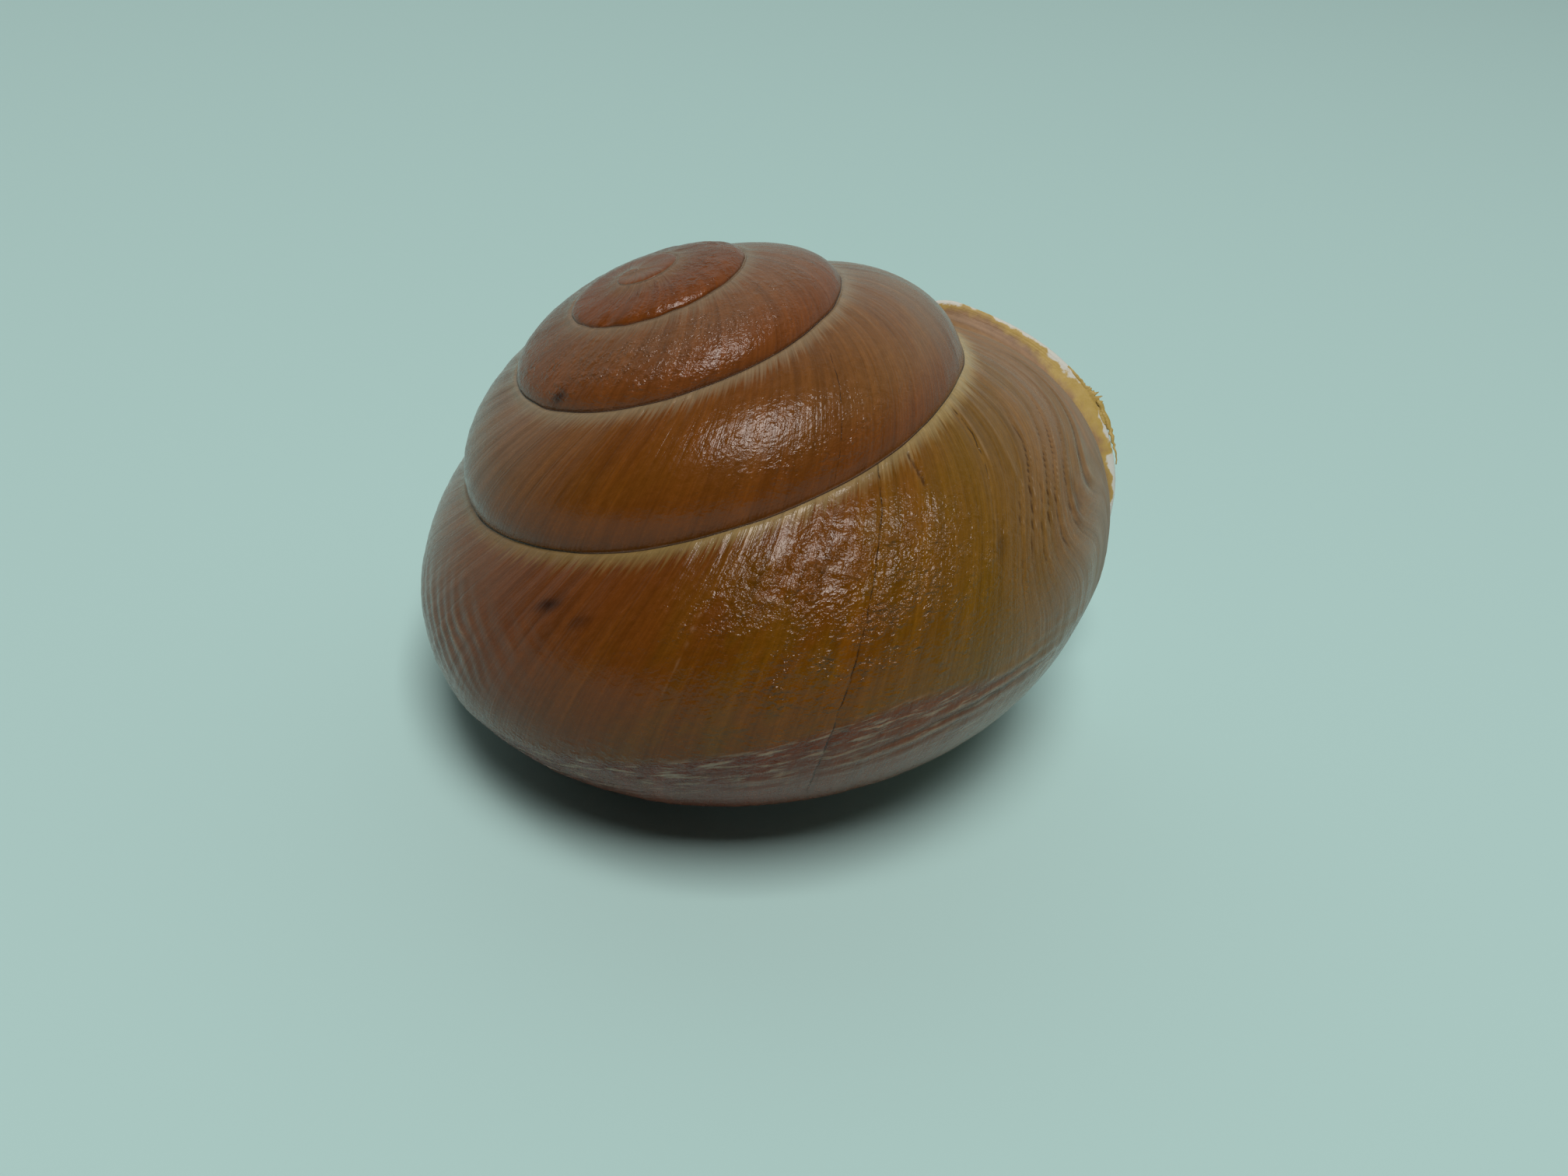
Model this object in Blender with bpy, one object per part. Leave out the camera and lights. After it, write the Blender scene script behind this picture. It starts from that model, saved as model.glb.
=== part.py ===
"""Left-handed land snail shell with a low domed spire and a turned-out lip.

The shell lies as it does on a table: on the underside of its last turn and
on the lower edge of its lip, with the spire leaning to one side. Metres,
+Z up, origin under the middle of the shell on the surface it lies on.
"""
import math

import bmesh
import bpy
import numpy as np
from mathutils import Matrix

MM = 0.001
TURN = 2.0 * math.pi

# Coil: the seam between the turns, walked from the lip back to the apex
SEAM_RADIUS = 26.0 * MM       # seam radius one turn past the lip, where the coil would go on
COIL_TURNS = 5.31             # turns from there back to where the coil shrinks to nothing
COIL_POWER = 1.567            # radius grows as this power of the turns made so far
SPIRE_DROP = 26.6 * MM        # height of the apex over the seam at SEAM_RADIUS
DOME_POWER = 1.95             # the spire falls away as this power of the radius
APEX_DRIFT = (-1.3 * MM, -3.1 * MM)   # how far the apex sits off the coil axis
DRIFT_FROM = -0.95            # the drift starts at this height, in seam radii
DRIFT_POWER = 1.5
APEX_SEAM_RADIUS = 0.035      # the seam starts here, in seam radii
SLOPE_STEP = 0.001            # share of the outline over which its slope is read

# Section of a turn, in seam radii at its own lower seam
CROWN = 0.13                  # crown of a turn between two seams, share of the seam gap
CROWN_LOSS = 0.21             # the crown flattens by this share over the last turn
CROWN_AT = 0.30               # where the crown is, share of the seam gap
CROWN_FADE_IN = 3.0           # the first turn's crown rises over this angle, radians
BASE_POINT = (0.466, -0.501)      # lowest ring of the underside, from the lower seam
FLANK_EXPONENT = 1.8          # superellipse from the lower seam to that ring
SHOULDER_POINT = (0.245, -0.37)   # where the underside turns into the navel
NAVEL_POINT = (0.10, -0.16)       # inside the navel
NAVEL_TOP = -0.60             # where the navel ends on the coil axis, in seam radii
MOUTH_LIFT = 0.134            # the underside gets shallower by this share at the lip
MOUTH_LIFT_ANGLE = 1.6        # over this angle before the lip, radians

# Lip
LIP_LAG = (1.867, -0.688, -0.772)   # how far the lip leans back below the seam, radians
LIP_STEPS = (                 # outward and onward from the last turn's edge
    (0.8 * MM, 0.8 * MM),     # the lip starts to turn out
    (2.5 * MM, 1.1 * MM),     # its outer edge
    (-1.4 * MM, 0.8 * MM),    # its face, as far as the hollow takes it
)
LIP_LEAST = 0.05              # what is left of the lip at the seam and the navel
LIP_RISE = 0.10               # share of the section over which the lip opens below the seam
LIP_FADE = 0.88               # share of the section where it starts to close at the navel

# Hollow
WALL = 0.8 * MM               # shell thickness, outer side
PARTING = 0.35 * MM           # glaze over the turn inside
HOLLOW_TURNS = 2.6            # how far the hollow is open behind the lip
HOLLOW_PAST_LIP = 0.28        # radians that the cutter runs past the lip
HOLLOW_CLEARANCE = 0.8 * MM   # narrowest end of the hollow under the seam
COLUMN_SHARE = 0.90           # share of the section where the hollow meets the central column

# Lie on the surface
LEAN = math.radians(25.2)         # of the coil axis from upright
LEAN_HEADING = math.radians(174.8)    # direction it leans to, from +X
SPIN = math.radians(-128.2)       # turn about the coil axis

# Facets
COLUMNS = 48                  # in a turn
UPPER_ROWS = 6                # from seam to seam
BASE_ROWS = 13                # from the lower seam to the navel
HOLLOW_OUTER_POINTS = 12
HOLLOW_INNER_POINTS = 9
HOLLOW_COLUMNS = 36           # in a turn
HOLLOW_SAMPLES = 90           # along its section, to find where it opens
SHARP_ANGLE = math.radians(38)

HORN_BROWN = (0.12, 0.055, 0.02, 1.0)
SATIN = 0.42                  # roughness of the shell's horny skin


def smooth_step(x):
    x = np.clip(x, 0.0, 1.0)
    return x * x * (3.0 - 2.0 * x)


def natural_spline(knots, points, at):
    """Points of a smooth curve through the given ones, read at one place."""
    gaps = np.diff(knots)
    count = len(knots)
    system = np.eye(count)
    for i in range(1, count - 1):
        system[i, i - 1:i + 2] = gaps[i - 1], 2.0 * (gaps[i - 1] + gaps[i]), gaps[i]
    slopes = np.diff(points, axis=0) / gaps[:, None, None]
    right = np.zeros_like(points)
    right[1:-1] = 6.0 * np.diff(slopes, axis=0)
    bend = np.linalg.solve(system, right.reshape(count, -1)).reshape(points.shape)
    i = int(np.clip(np.searchsorted(knots, at) - 1, 0, count - 2))
    a = (knots[i + 1] - at) / gaps[i]
    b = 1.0 - a
    curve = (a ** 3 - a) * bend[i] + (b ** 3 - b) * bend[i + 1]
    return a * points[i] + b * points[i + 1] + curve * gaps[i] ** 2 / 6.0


def seam(angle):
    """Radius and height of the seam above the turn at this angle; the lip is at 0."""
    turns_left = 1.0 - angle / TURN
    radius = np.maximum(1.0 - turns_left / COIL_TURNS, 0.0) ** COIL_POWER
    height = -SPIRE_DROP / SEAM_RADIUS * radius ** DOME_POWER
    return np.stack([radius, height], axis=-1)


def apex_angle():
    """Angle at which the seam starts, on a whole column."""
    turns_left = COIL_TURNS * (1.0 - APEX_SEAM_RADIUS ** (1.0 / COIL_POWER))
    return -round((turns_left - 1.0) * COLUMNS) * TURN / COLUMNS


APEX_ANGLE = apex_angle()


def section_points(angle):
    """The seven points that a turn's outline runs through, from seam to navel."""
    upper = seam(angle)
    lower = seam(angle + TURN)
    gap = lower - upper
    outward = np.stack([-gap[:, 1], gap[:, 0]], axis=-1)
    last_turn = np.clip(1.0 + angle / TURN, 0.0, 1.0)
    first_turn = smooth_step((angle - APEX_ANGLE) / CROWN_FADE_IN)
    crown = CROWN * (1.0 - CROWN_LOSS * last_turn) * first_turn
    crown_point = upper + CROWN_AT * gap + crown[:, None] * outward
    size = lower[:, 0]
    near_lip = np.clip(1.0 + angle / MOUTH_LIFT_ANGLE, 0.0, 1.0)
    depth = size * (1.0 - MOUTH_LIFT * near_lip ** 2)
    diagonal = math.sqrt(0.5) ** (2.0 / FLANK_EXPONENT)
    flank_radius = BASE_POINT[0] + (1.0 - BASE_POINT[0]) * diagonal
    flank_point = (flank_radius, BASE_POINT[1] * diagonal)
    points = [upper, crown_point, lower]
    for radius, height in (flank_point, BASE_POINT, SHOULDER_POINT, NAVEL_POINT):
        points.append(np.stack([size * radius, lower[:, 1] + depth * height], axis=-1))
    return np.stack(points)


def section_knots():
    """Share of the outline's length at each of its points, at the lip."""
    points = section_points(np.zeros(1))[:, 0]
    lengths = np.linalg.norm(np.diff(points, axis=0), axis=1)
    return np.concatenate([[0.0], np.cumsum(lengths)]) / lengths.sum()


KNOTS = section_knots()
LOWER_SEAM_AT = KNOTS[2]


def outline(angle, at):
    """Radius, height and outward direction of a turn at one share of its outline."""
    points = section_points(angle)
    here = natural_spline(KNOTS, points, at)
    ahead = natural_spline(KNOTS, points, min(at + SLOPE_STEP, 1.0))
    behind = natural_spline(KNOTS, points, max(at - SLOPE_STEP, 0.0))
    along = ahead - behind
    along /= np.linalg.norm(along, axis=-1, keepdims=True)
    return here, np.stack([-along[:, 1], along[:, 0]], axis=-1)


def to_space(section, angle):
    """Points in space, in metres, from radius and height at each angle."""
    radius, height = section[..., 0], section[..., 1]
    drift = np.clip(height / -DRIFT_FROM + 1.0, 0.0, None) ** DRIFT_POWER
    x = radius * np.cos(angle) * SEAM_RADIUS + drift * APEX_DRIFT[0]
    y = radius * np.sin(angle) * SEAM_RADIUS + drift * APEX_DRIFT[1]
    return np.stack([x, y, height * SEAM_RADIUS], axis=-1)


def direction_in_space(outward, angle):
    x = outward[..., 0] * np.cos(angle)
    y = outward[..., 0] * np.sin(angle)
    return np.stack([x, y, outward[..., 1]], axis=-1)


def lip_lag(at):
    """How far the lip leans back at a share of the outline."""
    return LIP_LAG[0] * at + LIP_LAG[1] * at ** 2 + LIP_LAG[2] * at ** 3


def inner_lag(at):
    """Where the last turn starts on the underside of the one inside it."""
    return lip_lag(1.0) * (at - LOWER_SEAM_AT) / (1.0 - LOWER_SEAM_AT)


def lip_opening(at):
    """How far the lip has opened at a share of the outline, 0 to 1."""
    return smooth_step(at / LIP_RISE) * (1.0 - smooth_step((at - LIP_FADE) / (1.0 - LIP_FADE)))


def row_places():
    upper = np.linspace(0.0, LOWER_SEAM_AT, UPPER_ROWS + 1)
    base = np.linspace(LOWER_SEAM_AT, 1.0, BASE_ROWS)
    return np.concatenate([upper, base[1:]])


def leaned_angle(angle, at):
    """Growth angle of each column of the last turn, leaning back towards the lip."""
    ramp = smooth_step(1.0 + angle / TURN)
    start = inner_lag(at) if at > LOWER_SEAM_AT else 0.0
    return angle - start * (1.0 - ramp) - lip_lag(at) * ramp


class Skin:
    """Outer surface as rows and columns, welded along the seam and closed at the mouth."""

    def __init__(self, mesh):
        self.mesh = mesh
        self.places = row_places()
        self.navel_row = len(self.places)
        self.last = int(round(-APEX_ANGLE / TURN * COLUMNS))
        self.start_of_last_turn = self.last - COLUMNS
        self.vertices = {}
        self.navel_top = mesh.verts.new(to_space(np.array([0.0, NAVEL_TOP]), 0.0))
        self.fill_rows()

    def fill_rows(self):
        columns = np.arange(self.last + 1)
        angles = (columns - self.last) * TURN / COLUMNS
        last_turn = columns >= self.start_of_last_turn
        for row, at in enumerate(self.places):
            leaned = np.where(last_turn, leaned_angle(angles, at), angles)
            section, outward = outline(leaned, at)
            points = to_space(section, leaned)
            for column in columns:
                if row < UPPER_ROWS or column > self.start_of_last_turn:
                    self.vertices[column, row] = self.mesh.verts.new(points[column])
                elif row > UPPER_ROWS and column == self.start_of_last_turn:
                    self.vertices[column, row] = self.mesh.verts.new(points[column])
            if row:
                growth = points[-1] - points[-2]
                self.add_flare(row, at, points[-1], direction_in_space(outward[-1], leaned[-1]), growth)

    def add_flare(self, row, at, point, outward, growth):
        """The columns past the last turn's edge, which turn the lip outward."""
        growth = growth / np.linalg.norm(growth)
        opening = LIP_LEAST + (1.0 - LIP_LEAST) * lip_opening(at)
        for step, (out, on) in enumerate(LIP_STEPS, start=1):
            place = point + opening * (out * outward + on * growth)
            self.vertices[self.last + step, row] = self.mesh.verts.new(place)

    def vertex(self, column, row):
        if row == self.navel_row:
            return self.navel_top
        if row == 0 and column > self.last:
            return self.vertices[self.last, 0]
        if row == UPPER_ROWS and column <= self.start_of_last_turn:
            return self.vertices[column + COLUMNS, 0]
        return self.vertices[column, row]

    def face(self, *places):
        corners = []
        for place in places:
            corner = self.vertex(*place)
            if corner not in corners:
                corners.append(corner)
        self.mesh.faces.new(corners)

    def build(self):
        for column in range(self.last + len(LIP_STEPS)):
            rows = self.navel_row if column >= self.start_of_last_turn else UPPER_ROWS
            for row in range(rows):
                self.face((column, row), (column + 1, row), (column + 1, row + 1), (column, row + 1))
        self.close_apex()
        self.close_mouth()

    def close_apex(self):
        """A low fan over the first turn, around the coil axis."""
        loop = [self.vertex(column, 0) for column in range(COLUMNS + 1)]
        loop += [self.vertex(0, row) for row in range(UPPER_ROWS - 1, 0, -1)]
        tip = self.mesh.verts.new(to_space(np.zeros(2), 0.0))
        for here, after in zip(loop, loop[1:] + loop[:1]):
            self.mesh.faces.new((here, after, tip))

    def close_mouth(self):
        """A face from the lip's edge to the turn inside it, which the hollow then opens."""
        edge = self.last + len(LIP_STEPS)
        outer = [(edge, row) for row in range(1, self.navel_row)]
        inner = [(self.start_of_last_turn, row) for row in range(UPPER_ROWS, self.navel_row)]
        i = j = 0
        while i < len(outer) - 1 or j < len(inner) - 1:
            inner_is_behind = (j + 1) * (len(outer) - 1) < (i + 1) * (len(inner) - 1)
            if inner_is_behind and j < len(inner) - 1 or i == len(outer) - 1:
                self.face(outer[i], inner[j + 1], inner[j])
                j += 1
            else:
                self.face(outer[i], outer[i + 1], inner[j])
                i += 1
        self.face(outer[-1], (edge, self.navel_row), inner[-1])


def hollow_section(angle):
    """Outline of the hollow at one angle: under the outer wall, then back over the turn inside."""
    here = np.array([angle])
    shares = np.linspace(0.0, COLUMN_SHARE, HOLLOW_SAMPLES)
    outer, inner = [], []
    start = 0.0
    for share in shares:
        wall, wall_outward = outline(here, share)
        turn_inside, inside_outward = outline(here - TURN, LOWER_SEAM_AT + (1.0 - LOWER_SEAM_AT) * share)
        outer.append(wall[0] - WALL / SEAM_RADIUS * wall_outward[0])
        inner.append(turn_inside[0] + PARTING / SEAM_RADIUS * inside_outward[0])
        across = wall[0] - turn_inside[0]
        least = HOLLOW_CLEARANCE / SEAM_RADIUS * np.linalg.norm(across)
        if np.dot(outer[-1] - inner[-1], across) <= least:
            start = share + shares[1]
    down = start + (COLUMN_SHARE - start) * np.linspace(0.0, 1.0, HOLLOW_OUTER_POINTS)
    up = COLUMN_SHARE + (start - COLUMN_SHARE) * np.linspace(0.0, 1.0, HOLLOW_INNER_POINTS)
    ring = []
    for side, places in ((np.array(outer), down), (np.array(inner), up)):
        for place in places:
            ring.append([np.interp(place, shares, side[:, 0]), np.interp(place, shares, side[:, 1])])
    return np.array(ring)


def build_hollow(mesh):
    """The space inside the last turns, as a closed tube that runs out through the mouth."""
    start = -HOLLOW_TURNS * TURN
    count = int(round((HOLLOW_PAST_LIP - start) / TURN * HOLLOW_COLUMNS))
    rings = []
    for angle in np.linspace(start, HOLLOW_PAST_LIP, count + 1):
        points = to_space(hollow_section(angle), angle)
        rings.append([mesh.verts.new(point) for point in points])
    for ring, following in zip(rings, rings[1:]):
        for i in range(len(ring)):
            mesh.faces.new((ring[i - 1], ring[i], following[i], following[i - 1]))
    mesh.faces.new(rings[0])
    mesh.faces.new(rings[-1])


def lying_pose():
    """Turns the shell from its own coil axis to how it lies."""
    lean = Matrix.Rotation(LEAN_HEADING, 4, "Z") @ Matrix.Rotation(LEAN, 4, "Y")
    return lean @ Matrix.Rotation(SPIN, 4, "Z")


def mesh_from(fill, name):
    working = bmesh.new()
    fill(working)
    bmesh.ops.transform(working, matrix=lying_pose(), verts=working.verts)
    bmesh.ops.recalc_face_normals(working, faces=working.faces)
    mesh = bpy.data.meshes.new(name)
    working.to_mesh(mesh)
    working.free()
    return mesh


def shell_material():
    material = bpy.data.materials.new("shell")
    material.use_nodes = True
    surface = material.node_tree.nodes["Principled BSDF"]
    surface.inputs["Base Color"].default_value = HORN_BROWN
    surface.inputs["Roughness"].default_value = SATIN
    surface.inputs["Metallic"].default_value = 0.0
    return material


def add_object(name, mesh, collection):
    item = bpy.data.objects.new(name, mesh)
    collection.objects.link(item)
    return item


def build():
    for item in list(bpy.data.objects):
        bpy.data.objects.remove(item, do_unlink=True)
    parts = bpy.data.collections.new("land_snail_shell")
    cutters = bpy.data.collections.new("cutters")
    for collection in (parts, cutters):
        bpy.context.scene.collection.children.link(collection)

    shell_mesh = mesh_from(lambda working: Skin(working).build(), "shell")
    hollow_mesh = mesh_from(build_hollow, "hollow")
    corners = np.array([vertex.co for vertex in shell_mesh.vertices])
    low, high = corners.min(axis=0), corners.max(axis=0)
    to_origin = Matrix.Translation((-(low[0] + high[0]) / 2.0, -(low[1] + high[1]) / 2.0, -low[2]))
    for mesh in (shell_mesh, hollow_mesh):
        mesh.transform(to_origin)

    shell = add_object("shell", shell_mesh, parts)
    shell_mesh.materials.append(shell_material())
    hollow = add_object("hollow", hollow_mesh, cutters)
    hollow.hide_render = True
    hollow.display_type = "WIRE"
    opened = shell.modifiers.new("hollow", "BOOLEAN")
    opened.operation = "DIFFERENCE"
    opened.solver = "EXACT"
    opened.object = hollow
    for mesh in (shell_mesh, hollow_mesh):
        mesh.shade_smooth()
        mesh.set_sharp_from_angle(angle=SHARP_ANGLE)


build()
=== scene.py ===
"""Finish of a left-handed land snail shell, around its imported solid.

The whole shell is one closed mesh, worked out from the same coil as the solid: the horny
skin with its sutures, growth lines and wrinkles, the turned-out lip, and the glazed inside.
Lengths are metres, but millimetres where a name ends in _MM or a comment says so. Angles are
radians, and other numbers are shares.
"""

import functools
import math

import bmesh
import bpy
import numpy as np
from mathutils import Matrix, Vector


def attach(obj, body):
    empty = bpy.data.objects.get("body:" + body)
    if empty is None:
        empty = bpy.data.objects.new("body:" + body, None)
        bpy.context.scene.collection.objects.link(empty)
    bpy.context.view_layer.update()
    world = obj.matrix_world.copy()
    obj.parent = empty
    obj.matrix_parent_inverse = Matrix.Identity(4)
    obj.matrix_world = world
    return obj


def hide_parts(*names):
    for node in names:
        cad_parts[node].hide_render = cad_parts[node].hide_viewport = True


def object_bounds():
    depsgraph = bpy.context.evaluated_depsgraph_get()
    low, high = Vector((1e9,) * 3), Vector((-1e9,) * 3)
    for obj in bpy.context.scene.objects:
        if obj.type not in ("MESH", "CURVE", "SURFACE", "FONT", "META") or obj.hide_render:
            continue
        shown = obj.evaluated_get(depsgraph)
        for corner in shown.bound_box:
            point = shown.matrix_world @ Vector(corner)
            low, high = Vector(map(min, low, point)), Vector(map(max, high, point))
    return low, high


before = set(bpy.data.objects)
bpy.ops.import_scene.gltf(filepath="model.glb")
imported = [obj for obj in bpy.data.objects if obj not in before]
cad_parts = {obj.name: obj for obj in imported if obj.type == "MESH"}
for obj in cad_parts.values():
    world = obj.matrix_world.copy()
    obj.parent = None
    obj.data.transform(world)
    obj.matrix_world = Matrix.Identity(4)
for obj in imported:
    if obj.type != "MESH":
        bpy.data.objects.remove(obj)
CAD_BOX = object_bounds()

MM = 0.001
TURN = 2.0 * math.pi

# Coil: the seam between the turns, as in the solid
SEAM_RADIUS = 26.0 * MM
SEAM_MM = SEAM_RADIUS / MM
COIL_TURNS = 5.31
COIL_POWER = 1.567
LEAST_TURNS = 0.005  # the coil's very start stays open by a hair, so that no points fall together
SPIRE_DROP = 26.6 * MM
DOME_POWER = 1.95
APEX_DRIFT = (-1.3 * MM, -3.1 * MM)
DRIFT_FROM = -0.95
DRIFT_POWER = 1.5
CROWN_START = -23.17  # angle at which the first turn's crown starts to rise
SKIN_START = -TURN * (COIL_TURNS - 0.30)  # the skin's first column, close to the coil axis

# Section of a turn, as in the solid
CROWN = 0.13
CROWN_GAIN = (-21.0, -6.0, 0.25)  # inner turns are flatter: from this share of the crown to all of it
CROWN_LOSS = 0.21
CROWN_AT = 0.30
CROWN_FADE_IN = 3.0
BASE_POINT = (0.466, -0.501)
FLANK_EXPONENT = 1.8
SHOULDER_POINT = (0.245, -0.37)
NAVEL_POINT = (0.10, -0.16)
NAVEL_TOP = -0.60
MOUTH_LIFT = 0.134
MOUTH_LIFT_ANGLE = 1.6
SLOPE_STEP = 0.001

# Lip, as in the solid
LIP_LAG = (1.867, -0.688, -0.772)
LIP_LEAST = 0.05
LIP_RISE = 0.10
LIP_FADE = 0.88
LIP_PROFILE_MM = (  # outward and onward from the last turn's edge, over the rim and in
    (0.05, 0.32), (0.2, 0.66), (0.52, 0.93), (1.0, 1.1), (1.5, 1.17), (1.93, 1.18),
    (2.18, 1.21), (2.26, 1.3), (2.18, 1.41), (1.92, 1.48), (1.45, 1.5), (0.92, 1.42),
    (0.42, 1.19), (0.02, 0.8), (-0.32, 0.29), (-0.56, -0.35),
)
RIM_STEP = 8  # the profile's point on the rim, counted from 1

# Hollow, as in the solid
WALL_MM = 0.8
MOUTH_WALL_MM = 0.56  # it is thinner at the mouth
MOUTH_WALL_REACH = 0.15  # and thickens inward over this angle
GLAZE_MM = 0.35
HOLLOW_TURNS = 1.75  # deep enough to be out of sight
HOLLOW_CLEARANCE_MM = 0.8
HOLLOW_START_MOST = 0.35  # it starts before this share of the outline
HOLLOW_START_STEPS = 71
HOLLOW_START_AT = 0.1  # where the lip's lag is read for it
COLUMN_SHARE = 0.90
GLAZE_RISE = 0.12  # the glaze over the turn inside fades out over this angle at the mouth

# How the shell lies, as in the solid
LEAN = math.radians(25.2)
LEAN_HEADING = math.radians(174.8)
SPIN = math.radians(-128.2)

# Rows and columns of the mesh
SPIRE_TURNS = (  # from the apex: last angle, columns, rows from seam to seam
    (-3.30 * TURN, 190, 18), (-2.25 * TURN, 250, 24), (-1.0 * TURN, 430, 38),
)
LAST_COLUMNS = (  # in the last turn: last angle, columns
    (-3.75, 140), (-0.35, 330), (0.0, 40),
)
LAST_UPPER_ROWS = 66
FLANK_ROWS = 34  # from the periphery to FLANK_END
FLANK_END = 0.52
BASE_ROWS = 16  # from there to the navel
ROW_CROWDING = 0.7  # rows crowd towards the sutures
LAST_CROWDING = 1.2
LEAN_IN = 2.0  # the columns lean to the growth lines over this angle
INSIDE_COLUMNS = 90
INSIDE_CROWDING = 1.3  # they crowd towards the mouth
INSIDE_SAMPLES = 61
WALL_POINTS = 44
FLOOR_POINTS = 26
LIP_CHORD = TURN / 48.0  # the lip turns out from the solid's last stretch
LIP_REACH_MM = 2.75  # from the last turn's edge over the flare to the rim
LIP_WAVE = 0.05  # the rim's reach varies by this share
LIP_WAVE_MM = 2.6  # and over this length
LIP_WAVE_SEED = 31
LIP_TUCK = (0.13, 0.10, 0.20)  # the rim turns out less near its top: where, how wide, by what share
FAR_MM = 99.0
SPECKLE_CELLS = 256  # a random field repeats after this many
TIP_MARKS = {"growth": SKIN_START, "down_mm": 2.0, "grown_mm": 0.5}

# Colours of the skin along its growth, by growth angle: the lip is at 0, the apex near -31
SKIN_COLOURS = (
    (-32.0, "#643a20"), (-20.5, "#643a20"), (-18.0, "#66442d"), (-15.0, "#71492a"),
    (-12.0, "#765138"), (-10.0, "#785c46"), (-9.5, "#7c5d44"), (-9.1, "#6e4928"), (-8.6, "#6b3d10"),
    (-8.2, "#6c3d0e"), (-7.7, "#6b4118"), (-7.3, "#754e28"), (-6.8, "#7e6046"), (-5.5, "#7c6049"),
    (-4.0, "#785a44"), (-3.4, "#74523a"), (-2.8, "#65381a"), (-2.4, "#65360e"), (-2.0, "#653807"),
    (-1.6, "#6e4006"), (-1.2, "#6f4e14"), (-0.8, "#7e5c36"), (-0.4, "#886646"), (0.3, "#9c7e60"),
)
BESIDE_SUTURE_COLOURS = (
    (-32.0, "#745134"), (-20.0, "#7a6048"), (-10.0, "#827560"), (-8.6, "#8c7c60"),
    (-7.3, "#8c7a60"), (-6.5, "#8c7c68"), (-4.0, "#897660"), (-3.2, "#846c48"), (-2.4, "#887548"),
    (-2.0, "#9e8a60"), (-1.6, "#8e7c56"), (-1.2, "#a28e60"), (-0.8, "#b0a076"), (0.3, "#b4a27c"),
)
UNDERSIDE_COLOURS = (
    (-6.5, "#6d5341"), (-4.0, "#623a24"), (-2.4, "#64280f"), (-1.8, "#6a2a0c"), (-1.2, "#703a14"),
    (-0.8, "#7a5a3c"), (0.3, "#8a745a"),
)
SUTURE_WEAR_AND_SHADE = (  # a pale worn line in the oldest turns, and painted shade in the suture's groove in the last
    (-32.0, "#9a8e7e"), (-12.5, "#85705a"), (-10.5, "#38241a"), (0.3, "#1c1009"),
)
# Painted shade: a turn darker and warmer towards the suture below it
SHADE_ABOVE_SUTURE = "#713a0e"
REDDISH = "#602e0e"
OLIVE = "#684a08"
# Painted shade in the creases' dark lines
CREASE_SHADE = "#231408"
STAIN = "#221009"
# Painted highlight: pale glints under the keel, and pale crests of the relief
PAINTED_HIGHLIGHT = "#b09a80"
# Painted shade in the furrows of the relief
FURROW_SHADE = "#3a2414"
FRAYED = "#a68a38"
FRAYED_PALE = "#bfa765"
CHALK = "#cccec8"
GLAZE_COLOURS = (
    (0.0, "#dcd8d2"), (4.0, "#d8ccc4"), (18.0, "#c0a89e"), (45.0, "#8a6a60"),
)
GLAZE_CLOUD = "#e6dcd6"
GLAZE_CLOUDS_MM = (4.0, 5.0, 4.0, 3.0)  # as in SKIN_NOISES, and so is the next
GLAZE_RIPPLES_MM = (1.6, 14.0, 6.0)
GLAZE_CLOUDED = (0.4, 0.75, 0.0, 0.3)  # noise where the clouds start and are full, and their shares there
GLAZE_BUMP = {"Strength": 0.35, "Distance": 0.06 * MM}
FIBRES_MM = (0.4, 0.12, 18.0, 3.0)  # as in SKIN_NOISES
FIBRE_DEPTH_MM = 0.04
DARK_LINES = (  # lines of painted shade along the creases: growth angle, share where it starts and ends, half width in mm
    (-2.15, 0.004, 0.06, 0.09), (-1.592, 0.0, 0.46, 0.06), (-1.15, 0.02, 0.11, 0.08),
    (-7.56, 0.08, 0.3, 0.04),
)
LINE_SWAY = (-0.012, 0.012)  # a line sways between these growth angles
LINE_SWAY_MM = (40.0, 1.6, 11.0, 3.0)  # as in SKIN_NOISES, and so is the next
LINE_BREAKS_MM = (30.0, 0.9, 12.0)
LINE_BROKEN = (0.38, 0.55)  # it is gone below the first of that noise, and whole above the second
LINE_CORE = 0.3  # share of its half width that is fully dark
LINE_FADES = ((-0.01, 0.005), (0.03, -0.02))  # it fades in and out between these, beside its ends
SKIN_MARKS = ("growth", "seam_growth", "down_mm", "seam_mm", "above_mm", "keel_mm", "below", "stain",
              "lines", "leather", "frayed_mm", "bare_mm")
SKIN_NOISES = {  # patches in mm along the growth and down the turn, seed, detail, slope
    "fine_lines": (0.25, 7.0, 1.0),  # the finest growth lines, as far apart as in the photo
    "ribs": (0.30, 6.0, 9.0),
    "bands": (1.1, 12.0, 7.0, 3.0),
    "mottle": (0.5, 0.5, 5.0, 3.0),
    "blotches": (4.5, 5.5, 3.0, 3.0),
    "streaks": (2.4, 0.34, 15.0, 3.0, 4.0),
    "folds": (1.15, 0.60, 2.0, 3.0, 22.0),
    "folded": (1.7, 1.3, 16.0),
    "grain": (0.16, 0.16, 8.0),
    "fray": (1.6, 1.3, 5.5, 4.0),
    "frayed_tones": (0.6, 0.6, 6.0, 3.0),
}
NOISE_GRIT = 0.55  # share of each finer layer in a noise
NOISE_SPAN = (0.3, 0.7)  # most of a noise lies between these
PALE_REACH_MM = (0.7, 2.2)  # the pale skin beside a suture reaches this far, rib by rib
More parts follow.
